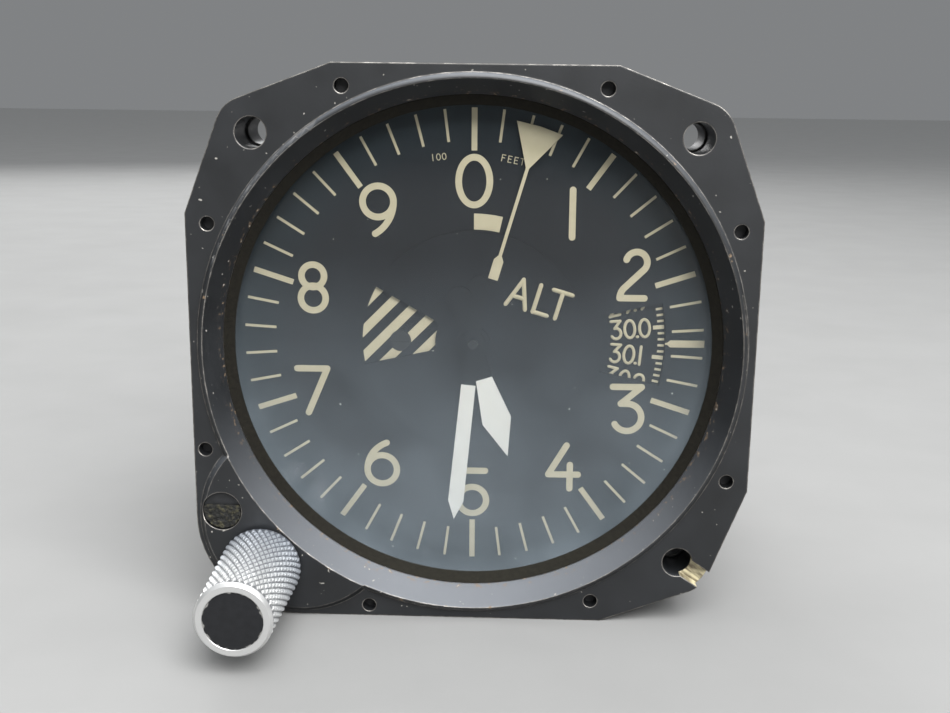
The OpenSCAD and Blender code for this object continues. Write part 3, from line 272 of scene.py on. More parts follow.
PEN_STROKES = {
    "0": [bow(0, 0, 0.5, 0.5, 90, 450)],
    "1": [[(0, 0.5), (0, -0.5)]],
    "2": [bow(0, 0.2, 0.48, 0.3, 165, -38), [(0.38, 0.01), (-0.48, -0.5)], [(-0.48, -0.5), (0.48, -0.5)]],
    "3": [[(-0.45, 0.5), (0.42, 0.5)], [(0.42, 0.5), (-0.12, 0.1)], bow(-0.02, -0.2, 0.48, 0.3, 100, -148)],
    "4": [[(0.12, 0.5), (-0.5, -0.22)], [(-0.5, -0.22), (0.5, -0.22)], [(0.25, 0.08), (0.25, -0.5)]],
    "5": [[(-0.36, 0.5), (0.4, 0.5)], [(-0.36, 0.5), (-0.4, 0.02)], bow(0, -0.18, 0.48, 0.32, 142, -148)],
    "6": [bow(0, -0.18, 0.48, 0.32, 90, 450), bow(0.55, -0.18, 1.03, 0.74, 118, 180)],
    "7": [[(-0.48, 0.5), (0.48, 0.5)], [(0.48, 0.5), (-0.15, -0.5)]],
    "8": [bow(0, 0.26, 0.38, 0.24, 90, 450), bow(0, -0.24, 0.48, 0.26, 90, 450)],
    "9": [bow(0, 0.18, 0.48, 0.32, 90, 450), bow(-0.55, 0.18, 1.03, 0.74, -62, 0)],
    ".": [[(0, -0.46), (0.02, -0.46)]],
    "A": [[(-0.5, -0.5), (0, 0.5)], [(0, 0.5), (0.5, -0.5)], [(-0.3, -0.15), (0.3, -0.15)]],
    "L": [[(-0.4, 0.5), (-0.4, -0.5)], [(-0.4, -0.5), (0.45, -0.5)]],
    "T": [[(-0.5, 0.5), (0.5, 0.5)], [(0, 0.5), (0, -0.5)]],
    "F": [[(-0.4, 0.5), (-0.4, -0.5)], [(-0.4, 0.5), (0.45, 0.5)], [(-0.4, 0.03), (0.3, 0.03)]],
    "E": [[(-0.4, 0.5), (-0.4, -0.5)], [(-0.4, 0.5), (0.45, 0.5)], [(-0.4, 0.03), (0.3, 0.03)],
          [(-0.4, -0.5), (0.45, -0.5)]],
}
INK = 0.06 * MM
# The end of a stroke: how far past it, in half pens, and the share of the pen's width there
ROUND_END = [(1.0, 0.15), (0.8, 0.6), (0.45, 0.89)]


def pen_print(name, letters, pen, face_y):
    # letters holds each character with its centre on the face, its turn in degrees,
    # and its width and height in mm
    curve = bpy.data.curves.new(name, "CURVE")
    curve.dimensions = "3D"
    curve.bevel_depth = pen / 2 * MM
    curve.bevel_resolution = 1
    curve.use_fill_caps = True
    for character, (x, z), turn, width, height in letters:
        c, s = math.cos(math.radians(turn)), math.sin(math.radians(turn))
        for stroke in PEN_STROKES[character]:
            line = [Vector((x + u * width * c - v * height * s, z + u * width * s + v * height * c))
                    for u, v in stroke]
            starts, ends = (line[0] - line[1]).normalized(), (line[-1] - line[-2]).normalized()
            run = [(line[0] + starts * pen / 2 * k, r) for k, r in ROUND_END]
            run += [(p, 1.0) for p in line]
            run += [(line[-1] + ends * pen / 2 * k, r) for k, r in reversed(ROUND_END)]
            spline = curve.splines.new("POLY")
            spline.points.add(len(run) - 1)
            for point, (p, r) in zip(spline.points, run):
                point.co = (p.x * MM, 0, p.y * MM, 1)
                point.radius = r
    drawn = bpy.data.objects.new(name, curve)
    bpy.context.collection.objects.link(drawn)
    bpy.ops.object.select_all(action="DESELECT")
    drawn.select_set(True)
    bpy.context.view_layer.objects.active = drawn
    bpy.ops.object.convert(target="MESH")
    drawn.scale = (1, INK / (pen * MM), 1)
    drawn.location = (0, face_y - INK / 2, 0)
    bpy.ops.object.transform_apply(location=True, rotation=True, scale=True)
    drawn.data.materials.append(cream)
    return drawn


# The scale's ends and the setting shown, in hundredths of an inch, and its turn for each tenth, in degrees
SCALE_LOW = 2810
SCALE_HIGH = 3100
TENTH = 10
SETTING_SHOWN = 3005.4
SETTING_DEGREES = 9.5
# Sizes in mm: the radius of a number's middle, and each character's place from there
FIGURE_R = 24.2
FIGURE_W = 1.55
FIGURE_H = 2.75
FIGURE_PEN = 0.52
WHOLE_INCHES_AND_POINT = (-2.23, -0.15, 0.95)
LAST_FIGURE = 2.12
LAST_FIGURE_1 = 1.6
figures = []
for hundredths in range(SCALE_LOW, SCALE_HIGH + 1, TENTH):
    turn = -(hundredths - SETTING_SHOWN) / TENTH * SETTING_DEGREES
    number = f"{hundredths / 100:.1f}"
    last = LAST_FIGURE_1 if number[-1] == "1" else LAST_FIGURE
    for character, along in zip(number, WHOLE_INCHES_AND_POINT + (last,)):
        r = FIGURE_R + along
        spot = (r * math.cos(math.radians(turn)), r * math.sin(math.radians(turn)))
        figures.append((character, spot, turn, FIGURE_W, FIGURE_H))
setting_figures = pen_print("setting_figures", figures, FIGURE_PEN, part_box("setting_scale")[0].y)
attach(setting_figures, "setting_disc")

# Units on the dial: small capitals either side of the zero, each word tilted with the dial's curve.
# The screws that show, in the dial, the frame and its recess, are blacked so that they don't shine.
UNIT_W = 0.56
UNIT_H = 0.92
UNIT_PEN = 0.15
# Each word with the centre of its first letter, its turn in degrees and the pitch of its letters, in mm
UNIT_WORDS = (("100", (-6.35, 27.78), 7.0, 0.85), ("FEET", (4.16, 27.87), -10.8, 0.95))
units = []
for word, first, turn, pitch in UNIT_WORDS:
    for i, character in enumerate(word):
        x = first[0] + i * pitch * math.cos(math.radians(turn))
        z = first[1] + i * pitch * math.sin(math.radians(turn))
        units.append((character, (x, z), turn, UNIT_W, UNIT_H))
unit_words = pen_print("unit_words", units, UNIT_PEN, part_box("dial")[0].y)
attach(unit_words, "case")

# Blacked steel: a dark oxide under a trace of oil, with a low uneven shine.
blacked, tree, shader, place = new_material("blacked steel")
oil = add(tree, "ShaderNodeTexNoise", {"Vector": place, "Scale": 1 / (0.7 * MM), "Detail": 3.0})
tint = add(tree, "ShaderNodeMix", {"Factor": oil.outputs["Fac"], "A": linear("#101112"),
                                   "B": linear("#232427")}, data_type="RGBA")
tree.links.new(tint.outputs[2], shader.inputs["Base Color"])
gloss = add(tree, "ShaderNodeMapRange", {"Value": oil.outputs["Fac"], "To Min": 0.4, "To Max": 0.65})
tree.links.new(gloss.outputs["Result"], shader.inputs["Roughness"])
dress(blacked, "dial_screws", "lock_screw", "case_screws")

# Pointers: stamped aluminium on coaxial sleeves, the outer ends in matte white paint.
# Their hubs and tails are black, so that only the white blades are read.
ALTITUDE = 4515
DISC_FEET_A_TURN = 100000
# The word's line lies WORD_LINE from the axis, and each letter has its place along that line,
# its width and its height, all in mm
WORD_LINE = 9.37
WORD_LETTERS = (("A", 4.49, 3.02, 4.25), ("L", 8.27, 2.56, 4.19), ("T", 10.76, 2.85, 4.1))
WORD_PEN = 0.75
disc_turn = -ALTITUDE / DISC_FEET_A_TURN * 360
disc_cos = math.cos(math.radians(disc_turn))
disc_sin = math.sin(math.radians(disc_turn))
letters = []
for character, along, width, height in WORD_LETTERS:
    spot = (along * disc_cos - WORD_LINE * disc_sin, along * disc_sin + WORD_LINE * disc_cos)
    letters.append((character, spot, disc_turn, width, height))
altitude_word = pen_print("altitude_word", letters, WORD_PEN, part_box("ten_thousand_disc")[0].y)
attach(altitude_word, "ten_thousand_foot_pointer")

# Hand paint: matte white, a little uneven, with a sharp edge to the black of the hub.
# Each hand is given with the feet in its turn and where its white begins, in mm from the axis.
HANDS = (("hundred_foot_hand", 1000, 6.4), ("thousand_foot_hand", 10000, 5.8))
PAINT_EDGE = 0.05
for node, feet_a_turn, white_from in HANDS:
    hand_paint, tree, shader, place = new_material("white hand paint, " + node.split("_")[0])
    clock = math.radians(ALTITUDE % feet_a_turn / feet_a_turn * 360)
    out = add(tree, "ShaderNodeVectorMath", {0: place, 1: (math.sin(clock), 0.0, math.cos(clock))},
              operation="DOT_PRODUCT")
    blade = add(tree, "ShaderNodeMapRange", {"Value": out.outputs["Value"],
                                             "From Min": (white_from - PAINT_EDGE) * MM,
                                             "From Max": (white_from + PAINT_EDGE) * MM})
    faint = add(tree, "ShaderNodeTexNoise", {"Vector": place, "Scale": 1 / (3 * MM), "Detail": 3.0})
    white = add(tree, "ShaderNodeMix", {"Factor": faint.outputs["Fac"], "A": linear("#e6e3da"),
                                        "B": linear("#f4f2ec")}, data_type="RGBA")
    coat = add(tree, "ShaderNodeMix", {"Factor": blade.outputs["Result"], "A": linear("#1c2024"),
                                       "B": white.outputs[2]}, data_type="RGBA")
    tree.links.new(coat.outputs[2], shader.inputs["Base Color"])
    shader.inputs["Roughness"].default_value = 0.7
    shader.inputs["Specular IOR Level"].default_value = 0.25
    dress(hand_paint, node)

# The staff is bright steel inside the movement, and its end on the dial is blacked with the hub.
BLACK_TO = 8.2 * MM
BRIGHT_FROM = 8.4 * MM
staff_steel, tree, shader, place = new_material("turned steel, blacked end")
axes = add(tree, "ShaderNodeSeparateXYZ", {"Vector": place})
behind = add(tree, "ShaderNodeMapRange", {"Value": axes.outputs["Y"], "From Min": BLACK_TO,
                                          "From Max": BRIGHT_FROM})
rings = add(tree, "ShaderNodeTexNoise", {"Vector": place, "Scale": 1 / (1.2 * MM), "Detail": 3.0})
bright = add(tree, "ShaderNodeMix", {"Factor": rings.outputs["Fac"], "A": linear("#85878b"),
                                     "B": linear("#b4b6b9")}, data_type="RGBA")
tint = add(tree, "ShaderNodeMix", {"Factor": behind.outputs["Result"], "A": linear("#1c2024"),
                                   "B": bright.outputs[2]}, data_type="RGBA")
tree.links.new(tint.outputs[2], shader.inputs["Base Color"])
tree.links.new(behind.outputs["Result"], shader.inputs["Metallic"])
shader.inputs["Roughness"].default_value = 0.4
dress(staff_steel, "hand_staff")

# Glass, its gasket and the seat ring: a flat pane pressed against the frame's lip by the case.
# The old rubber is a rough dark olive, and fine dust hazes the pane, most of all low down and at its edge.
rubber, tree, shader, place = new_material("aged rubber")
shader.inputs["Specular IOR Level"].default_value = 0.15
crumb = add(tree, "ShaderNodeTexNoise", {"Vector": place, "Scale": 1 / (0.6 * MM), "Detail": 6.0})
tint = add(tree, "ShaderNodeMix", {"Factor": crumb.outputs["Fac"], "A": linear("#0c0b09"),
                                   "B": linear("#1f1d17")}, data_type="RGBA")
shape = add(tree, "ShaderNodeNewGeometry", {})
facing = add(tree, "ShaderNodeSeparateXYZ", {"Vector": shape.outputs["Normal"]})
faces_up = add(tree, "ShaderNodeMapRange", {"Value": facing.outputs["Z"], "From Min": 0.3, "From Max": 1.0,
                                           "To Max": 0.12})
paler_above = add(tree, "ShaderNodeMix", {"Factor": faces_up.outputs["Result"], "A": tint.outputs[2],
                                     "B": linear("#66655a")}, data_type="RGBA")
tree.links.new(paler_above.outputs[2], shader.inputs["Base Color"])
shader.inputs["Roughness"].default_value = 0.9
rough = add(tree, "ShaderNodeBump", {"Height": crumb.outputs["Fac"], "Strength": 0.6, "Distance": 0.2 * MM})
tree.links.new(rough.outputs["Normal"], shader.inputs["Normal"])
dress(rubber, "glass_gasket", "glass_seat", "knob_seal")

# Window glass: clear, with a weak mirror on it and a cloudy pale film that hides the dial in part.
# The haze grows from HAZE_TOP down to HAZE_FOOT, and near the gasket it gathers between two radii.
HAZE_TOP = 14 * MM
HAZE_FOOT = -36 * MM
HAZE_LEAST = 0.002
HAZE_MOST = 0.083
RIM_HAZE_FROM = 32.5 * MM
RIM_HAZE_FULL = 36.5 * MM
# The share of red, green and blue light that passes (the fourth value has no effect)
PANE_PASSES = (0.98, 0.985, 0.985, 1)
pane, tree, shader, place = new_material("window glass")
clear = add(tree, "ShaderNodeBsdfTransparent", {"Color": PANE_PASSES})
film = add(tree, "ShaderNodeBsdfDiffuse", {"Color": linear("#d6e6f2")})
smear = add(tree, "ShaderNodeTexNoise", {"Vector": place, "Scale": 1 / (12 * MM), "Detail": 7.0})
uneven = add(tree, "ShaderNodeMapRange", {"Value": smear.outputs["Fac"], "From Min": 0.25, "From Max": 0.75,
                                          "To Min": 0.6, "To Max": 1.4})
axes = add(tree, "ShaderNodeSeparateXYZ", {"Vector": place})
sunk = add(tree, "ShaderNodeMapRange", {"Value": axes.outputs["Z"], "From Min": HAZE_TOP,
                                        "From Max": HAZE_FOOT, "To Min": HAZE_LEAST, "To Max": HAZE_MOST})
edge_haze = add(tree, "ShaderNodeMapRange", {"Value": from_axis(tree, place), "From Min": RIM_HAZE_FROM,
                                             "From Max": RIM_HAZE_FULL, "To Min": 1.0, "To Max": 1.6})
gathered = add(tree, "ShaderNodeMath", {0: sunk.outputs["Result"], 1: edge_haze.outputs["Result"]},
               operation="MULTIPLY")
film_share = add(tree, "ShaderNodeMath", {0: gathered.outputs["Value"], 1: uneven.outputs["Result"]},
                 operation="MULTIPLY")
hazy = add(tree, "ShaderNodeMixShader", {0: film_share.outputs["Value"], 1: clear.outputs[0],
                                         2: film.outputs[0]})
shine = add(tree, "ShaderNodeBsdfGlossy", {"Roughness": 0.03})
mirror = add(tree, "ShaderNodeFresnel", {"IOR": 1.3})
surface = add(tree, "ShaderNodeMixShader", {0: mirror.outputs[0], 1: hazy.outputs[0], 2: shine.outputs[0]})
tree.links.new(surface.outputs[0], tree.nodes["Material Output"].inputs["Surface"])
tree.nodes.remove(shader)
dress(pane, "glass")

# Front frame: milled aluminium in satin black enamel, screwed to the case from behind.
# Dust and a painted sheen of light from above pale what faces up; handling has rubbed the edges bright
# and chipped the lip to its primer, and the slot at one screw hole is filed through to the primer.
worn, tree, shader, place = new_material("worn black enamel on aluminium")
shader.inputs["Specular IOR Level"].default_value = 0.5
axes = add(tree, "ShaderNodeSeparateXYZ", {"Vector": place})
mottle = add(tree, "ShaderNodeTexNoise", {"Vector": place, "Scale": 1 / (8 * MM), "Detail": 7.0})
film = add(tree, "ShaderNodeMix", {"Factor": mottle.outputs["Fac"], "A": linear("#0c0d0e"),
                                   "B": linear("#212326")}, data_type="RGBA")
shape = add(tree, "ShaderNodeNewGeometry", {})
facing = add(tree, "ShaderNodeSeparateXYZ", {"Vector": shape.outputs["Normal"]})
# Dust and painted sheen: what faces up and lies open is mixed to a pale blue-grey, for the dust on it and for
# the top light's sheen on the satin, most where it faces straight up
faces_up = add(tree, "ShaderNodeMapRange", {"Value": facing.outputs["Z"], "From Min": 0.1, "From Max": 1.0,
                                           "To Max": 0.52}, interpolation_type="SMOOTHSTEP")
open_sky = add(tree, "ShaderNodeAmbientOcclusion", {"Distance": 5 * MM}, samples=8)
reached = add(tree, "ShaderNodeMapRange", {"Value": open_sky.outputs["AO"], "From Min": 0.55,
                                           "From Max": 0.85})
dust_and_sheen = add(tree, "ShaderNodeMath", {0: faces_up.outputs["Result"], 1: reached.outputs["Result"]},
           operation="MULTIPLY")
paler_above = add(tree, "ShaderNodeMix", {"Factor": dust_and_sheen.outputs["Value"], "A": film.outputs[2],
                                     "B": linear("#82868c")}, data_type="RGBA")
edge = add(tree, "ShaderNodeBevel", {"Radius": 0.35 * MM}, samples=8)
turned = add(tree, "ShaderNodeVectorMath", {0: edge.outputs["Normal"], 1: shape.outputs["True Normal"]},
             operation="DOT_PRODUCT")
rubbed = add(tree, "ShaderNodeMapRange", {"Value": turned.outputs["Value"], "From Min": 0.98,
                                          "From Max": 0.84, "To Max": 0.95})
chip = add(tree, "ShaderNodeTexNoise", {"Vector": place, "Scale": 1 / (1.5 * MM), "Detail": 8.0})
chips = add(tree, "ShaderNodeMapRange", {"Value": chip.outputs["Fac"], "From Min": 0.44, "From Max": 0.64,
                                         "To Min": 0.3})
bare = add(tree, "ShaderNodeMath", {0: rubbed.outputs["Result"], 1: chips.outputs["Result"]},
           operation="MULTIPLY")
metal = add(tree, "ShaderNodeMix", {"Factor": chip.outputs["Fac"], "A": linear("#8d8378"),
                                    "B": linear("#c9c6c0")}, data_type="RGBA")
edged = add(tree, "ShaderNodeMix", {"Factor": bare.outputs["Value"], "A": paler_above.outputs[2],
                                    "B": metal.outputs[2]}, data_type="RGBA")
# The lip loses its enamel in flakes: ragged all round its inner edge, and here and there on its crest
LIP_BARE_R = 37.2 * MM
LIP_RAGGED_R = 37.9 * MM
LIP_OUTER_R = 40.1 * MM
LIP_CREST_FOOT = -0.4 * MM
LIP_CREST_TOP = -0.7 * MM
radius = from_axis(tree, place)
inner = add(tree, "ShaderNodeMapRange", {"Value": radius, "From Min": LIP_RAGGED_R, "From Max": LIP_BARE_R})
nick = add(tree, "ShaderNodeTexNoise", {"Vector": place, "Scale": 1 / (0.8 * MM), "Detail": 8.0})
ragged = add(tree, "ShaderNodeMapRange", {"Value": nick.outputs["Fac"], "From Min": 0.58, "From Max": 0.68})
inner_loss = add(tree, "ShaderNodeMath", {0: inner.outputs["Result"], 1: ragged.outputs["Result"]},
                 operation="MULTIPLY")
on_lip = add(tree, "ShaderNodeMath", {0: radius, 1: LIP_OUTER_R}, operation="LESS_THAN")
crest = add(tree, "ShaderNodeMapRange", {"Value": axes.outputs["Y"], "From Min": LIP_CREST_FOOT,
                                         "From Max": LIP_CREST_TOP})
sparse = add(tree, "ShaderNodeMapRange", {"Value": chip.outputs["Fac"], "From Min": 0.66, "From Max": 0.7})
crest_here = add(tree, "ShaderNodeMath", {0: on_lip.outputs["Value"], 1: crest.outputs["Result"]},
                 operation="MULTIPLY")
crest_loss = add(tree, "ShaderNodeMath", {0: crest_here.outputs["Value"], 1: sparse.outputs["Result"]},
                 operation="MULTIPLY")
flaked = add(tree, "ShaderNodeMath", {0: inner_loss.outputs["Value"], 1: crest_loss.outputs["Value"]},
             operation="MAXIMUM")
primed = add(tree, "ShaderNodeMix", {"Factor": flaked.outputs["Value"], "A": edged.outputs[2],
                                     "B": linear("#6e5d4a")}, data_type="RGBA")
grit = add(tree, "ShaderNodeTexNoise", {"Vector": place, "Scale": 1 / (0.8 * MM), "Detail": 1.0})
speck = add(tree, "ShaderNodeMapRange", {"Value": grit.outputs["Fac"], "From Min": 0.74, "From Max": 0.78})
dusty = add(tree, "ShaderNodeMix", {"Factor": speck.outputs["Result"], "A": primed.outputs[2],
                                    "B": linear("#8f8c86")}, data_type="RGBA")
# The filed slot runs from the lower right screw hole to the corner, a little below the front face
SLOT_ANGLE = math.radians(34)
SLOT_HOLE = (31.43, -31.43)
SLOT_START = 1.6 * MM
SLOT_HALF_W = 1.53 * MM
SLOT_MIDDLE_Y = 1.0 * MM
SLOT_HALF_DEPTH = 0.75 * MM
FILE_STROKE = 2.5 * MM
FILE_SCRATCH = 0.45 * MM
along_x, along_z = math.cos(SLOT_ANGLE), -math.sin(SLOT_ANGLE)
along = add(tree, "ShaderNodeVectorMath", {0: place, 1: (along_x, 0.0, along_z)}, operation="DOT_PRODUCT")
across = add(tree, "ShaderNodeVectorMath", {0: place, 1: (-along_z, 0.0, along_x)}, operation="DOT_PRODUCT")
hole_along = (SLOT_HOLE[0] * along_x + SLOT_HOLE[1] * along_z) * MM
hole_across = (-SLOT_HOLE[0] * along_z + SLOT_HOLE[1] * along_x) * MM
past_hole = add(tree, "ShaderNodeMath", {0: along.outputs["Value"], 1: hole_along + SLOT_START},
                operation="GREATER_THAN")
in_slot = add(tree, "ShaderNodeMath", {0: across.outputs["Value"], 1: hole_across, 2: SLOT_HALF_W},
              operation="COMPARE")
in_depth = add(tree, "ShaderNodeMath", {0: axes.outputs["Y"], 1: SLOT_MIDDLE_Y, 2: SLOT_HALF_DEPTH},
               operation="COMPARE")
slot_plan = add(tree, "ShaderNodeMath", {0: past_hole.outputs["Value"], 1: in_slot.outputs["Value"]},
                operation="MULTIPLY")
filed = add(tree, "ShaderNodeMath", {0: slot_plan.outputs["Value"], 1: in_depth.outputs["Value"]},
            operation="MULTIPLY")
stroke_place = add(tree, "ShaderNodeCombineXYZ", {"X": along.outputs["Value"],
                                                  "Y": across.outputs["Value"]})
stroke_scale = add(tree, "ShaderNodeVectorMath", {0: stroke_place.outputs["Vector"],
                                                  1: (1 / FILE_STROKE, 1 / FILE_SCRATCH, 1.0)},
                   operation="MULTIPLY")
strokes = add(tree, "ShaderNodeTexNoise", {"Vector": stroke_scale.outputs["Vector"], "Scale": 1.0,
                                           "Detail": 4.0})
streak = add(tree, "ShaderNodeMapRange", {"Value": strokes.outputs["Fac"], "From Min": 0.4,
                                          "From Max": 0.66})
scrape = add(tree, "ShaderNodeMix", {"Factor": streak.outputs["Result"], "A": linear("#cfc5a3"),
                                     "B": linear("#5a4f3c")}, data_type="RGBA")
skin_colour = add(tree, "ShaderNodeMix", {"Factor": filed.outputs["Value"], "A": dusty.outputs[2],
                                          "B": scrape.outputs[2]}, data_type="RGBA")
tree.links.new(skin_colour.outputs[2], shader.inputs["Base Color"])
gloss = add(tree, "ShaderNodeMapRange", {"Value": mottle.outputs["Fac"], "To Min": 0.36, "To Max": 0.52})
tree.links.new(gloss.outputs["Result"], shader.inputs["Roughness"])
tree.links.new(bare.outputs["Value"], shader.inputs["Metallic"])
peel = add(tree, "ShaderNodeTexNoise", {"Vector": place, "Scale": 1 / (0.45 * MM), "Detail": 2.0})
skin = add(tree, "ShaderNodeBump", {"Height": peel.outputs["Fac"], "Strength": 0.15, "Distance": 0.05 * MM,
                                    "Normal": edge.outputs["Normal"]})
tree.links.new(skin.outputs["Normal"], shader.inputs["Normal"])
dress(worn, "front_frame")

# Lock screw beside the knob: a slotted steel screw, sealed with dark olive compound when it was set.
# The compound has dried rough and fills the recess to a little above its middle.
# Dried compound: near black and matt, crusted with paler olive crumbs.
sealed, tree, shader, place = new_material("dried sealing compound")
crust = add(tree, "ShaderNodeTexNoise", {"Vector": place, "Scale": 1 / (0.6 * MM), "Detail": 8.0})
crumbs = add(tree, "ShaderNodeMapRange", {"Value": crust.outputs["Fac"], "From Min": 0.5, "From Max": 0.8})
tint = add(tree, "ShaderNodeMix", {"Factor": crumbs.outputs["Result"], "A": linear("#0d0d0a"),
                                   "B": linear("#504c36")}, data_type="RGBA")
tree.links.new(tint.outputs[2], shader.inputs["Base Color"])
shader.inputs["Roughness"].default_value = 0.8
rough = add(tree, "ShaderNodeBump", {"Height": crust.outputs["Fac"], "Strength": 0.8,
                                     "Distance": 0.25 * MM})
tree.links.new(rough.outputs["Normal"], shader.inputs["Normal"])

lock_low, lock_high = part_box("lock_screw")
lock = (lock_low + lock_high) / 2
HEAP = 0.5 * MM
WALL_GAP = 0.05 * MM
SUNK_IN = 0.05 * MM
HEAP_TOP = 0.9 * MM
LUMP = 0.6 * MM
LUMP_HEIGHT = 0.35 * MM
LUMP_VOXEL = 0.1 * MM
bpy.ops.object.select_all(action="DESELECT")
bpy.ops.mesh.primitive_cylinder_add(vertices=64, radius=(lock_high.x - lock_low.x) / 2 - WALL_GAP, depth=HEAP,
                                    location=(lock.x, lock_low.y - HEAP / 2 + SUNK_IN, lock.z),
                                    rotation=(math.pi / 2, 0, 0))
compound = bpy.context.active_object
compound.name = "sealing_compound"
bpy.ops.object.transform_apply(location=True, rotation=True, scale=True)
bpy.ops.object.mode_set(mode="EDIT")
bpy.ops.mesh.select_all(action="SELECT")
bpy.ops.mesh.bisect(plane_co=(lock.x, lock.y, lock.z + HEAP_TOP), plane_no=(0, 0, 1), clear_outer=True,
                    use_fill=True)
bpy.ops.object.mode_set(mode="OBJECT")
remesh = compound.modifiers.new("lumps", "REMESH")
remesh.mode = "VOXEL"
remesh.voxel_size = LUMP_VOXEL
bpy.ops.object.modifier_apply(modifier=remesh.name)
lumps = bpy.data.textures.new("dried lumps", "CLOUDS")
lumps.noise_scale = LUMP
swell = compound.modifiers.new("swell", "DISPLACE")
swell.texture = lumps
swell.texture_coords = "LOCAL"
swell.strength = LUMP_HEIGHT
bpy.ops.object.modifier_apply(modifier=swell.name)
compound.data.materials.append(sealed)
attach(compound, "case")

# Setting knob: a turned aluminium grip, a little wider behind, with a diamond knurl and left bare.
# A black plastic disc is pressed into the end, and the shaft runs in a brass bush in the frame.
grip_low, grip_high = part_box("setting_knob")
grip = (grip_low + grip_high) / 2
FRONT_R = 5.5 * MM
BACK_R = (grip_high.x - grip_low.x) / 2
SLOPE = (BACK_R - FRONT_R) / (grip_high.y - grip_low.y)
CREST = 0.22 * MM
KNURL_FLANK = 0.29 * MM
AROUND = 38
ROWS = 10
RING_LENGTH = 0.8 * MM
BACK_MARGIN = 0.3 * MM
BACK_CHAMFER = 0.2 * MM
KNURL_FRONT = grip_low.y + RING_LENGTH
KNURL_BACK = grip_high.y - BACK_MARGIN
cap_low, cap_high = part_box("knob_cap")
CAP_GAP = 0.02 * MM
CAP_R = (cap_high.x - cap_low.x) / 2 + CAP_GAP


def grip_r(y):
    return FRONT_R + (y - grip_low.y) * SLOPE


# The knurl starts as a tube of AROUND by ROWS squares. Each is poked into four triangles, and without
# the squares' own sides the triangles make diamonds, which are inset and raised.
bpy.ops.object.select_all(action="DESELECT")
bpy.ops.mesh.primitive_circle_add(vertices=AROUND, radius=grip_r(KNURL_FRONT) - CREST, fill_type="NOTHING",
                                  location=(grip.x, KNURL_FRONT, grip.z), rotation=(math.pi / 2, 0, 0))
knob_grip = bpy.context.active_object
knob_grip.name = "knob_grip"
bpy.ops.object.transform_apply(location=True, rotation=True, scale=True)
bpy.ops.object.mode_set(mode="EDIT")
bpy.ops.mesh.select_mode(type="EDGE")
bpy.ops.mesh.select_all(action="SELECT")
row_step = (KNURL_BACK - KNURL_FRONT) / ROWS
for row in range(ROWS):
    row_end = KNURL_FRONT + (row + 1) * row_step
    wider = (grip_r(row_end) - CREST) / (grip_r(row_end - row_step) - CREST)
    bpy.ops.mesh.extrude_region_move(TRANSFORM_OT_translate={"value": (0, row_step, 0)})
    bpy.ops.transform.resize(value=(wider, 1, wider), center_override=(grip.x, row_end, grip.z))
bpy.ops.mesh.select_all(action="SELECT")
bpy.ops.mesh.normals_make_consistent(inside=False)
corners = len(bmesh.from_edit_mesh(knob_grip.data).verts)
bpy.ops.mesh.poke()
bpy.ops.mesh.select_all(action="DESELECT")
shell = bmesh.from_edit_mesh(knob_grip.data)
for rib in shell.edges:
    if rib.verts[0].index < corners and rib.verts[1].index < corners and len(rib.link_faces) == 2:
        rib.select_set(True)
bmesh.update_edit_mesh(knob_grip.data)
bpy.ops.mesh.dissolve_edges(use_verts=False, use_face_split=False)
bpy.ops.mesh.select_mode(type="FACE")
bpy.ops.mesh.select_all(action="DESELECT")
shell = bmesh.from_edit_mesh(knob_grip.data)
for diamond in shell.faces:
    diamond.select_set(len(diamond.verts) == 4)
bmesh.update_edit_mesh(knob_grip.data)
bpy.ops.mesh.inset(thickness=KNURL_FLANK, depth=CREST, use_individual=True)
SAME_PLACE = 1e-6


def grow_from(y, steps):
    # Extrudes the knurl's open rim at y through the given places and radii, and closes the last one
    bpy.ops.mesh.select_mode(type="EDGE")
    bpy.ops.mesh.select_all(action="DESELECT")
    rim_mesh = bmesh.from_edit_mesh(knob_grip.data)
    for rim_edge in rim_mesh.edges:
        if rim_edge.is_boundary and all(abs(v.co.y - y) < SAME_PLACE for v in rim_edge.verts):
            rim_edge.select_set(True)
    bmesh.update_edit_mesh(knob_grip.data)
    at_y, at_r = y, grip_r(y) - CREST
    for next_y, next_r in steps:
        bpy.ops.mesh.extrude_region_move(TRANSFORM_OT_translate={"value": (0, next_y - at_y, 0)})
        share = next_r / at_r
        bpy.ops.transform.resize(value=(share, 1, share), center_override=(grip.x, next_y, grip.z))
        at_y, at_r = next_y, next_r
    bpy.ops.mesh.edge_face_add()


# The plain ring in front: a shoulder, a slope, the rounded face, and the recess that takes the disc
RING_R = FRONT_R - 0.36 * MM
ring_profile = [
    (grip_low.y + 0.7 * MM, FRONT_R - 0.02 * MM),
    (grip_low.y + 0.6 * MM, FRONT_R - 0.02 * MM),
    (grip_low.y + 0.08 * MM, RING_R + 0.04 * MM),
    (grip_low.y, RING_R - 0.06 * MM),
    (grip_low.y, CAP_R + 0.05 * MM),
    (grip_low.y + 0.05 * MM, CAP_R),
    (cap_high.y, CAP_R),
]
grow_from(KNURL_FRONT, ring_profile)
grow_from(KNURL_BACK, [(grip_high.y, BACK_R - CREST - BACK_CHAMFER)])
bpy.ops.mesh.select_all(action="SELECT")
bpy.ops.mesh.normals_make_consistent(inside=False)
bpy.ops.object.mode_set(mode="OBJECT")
SMOOTH_BELOW = math.radians(25)
bpy.ops.object.shade_smooth_by_angle(angle=SMOOTH_BELOW)
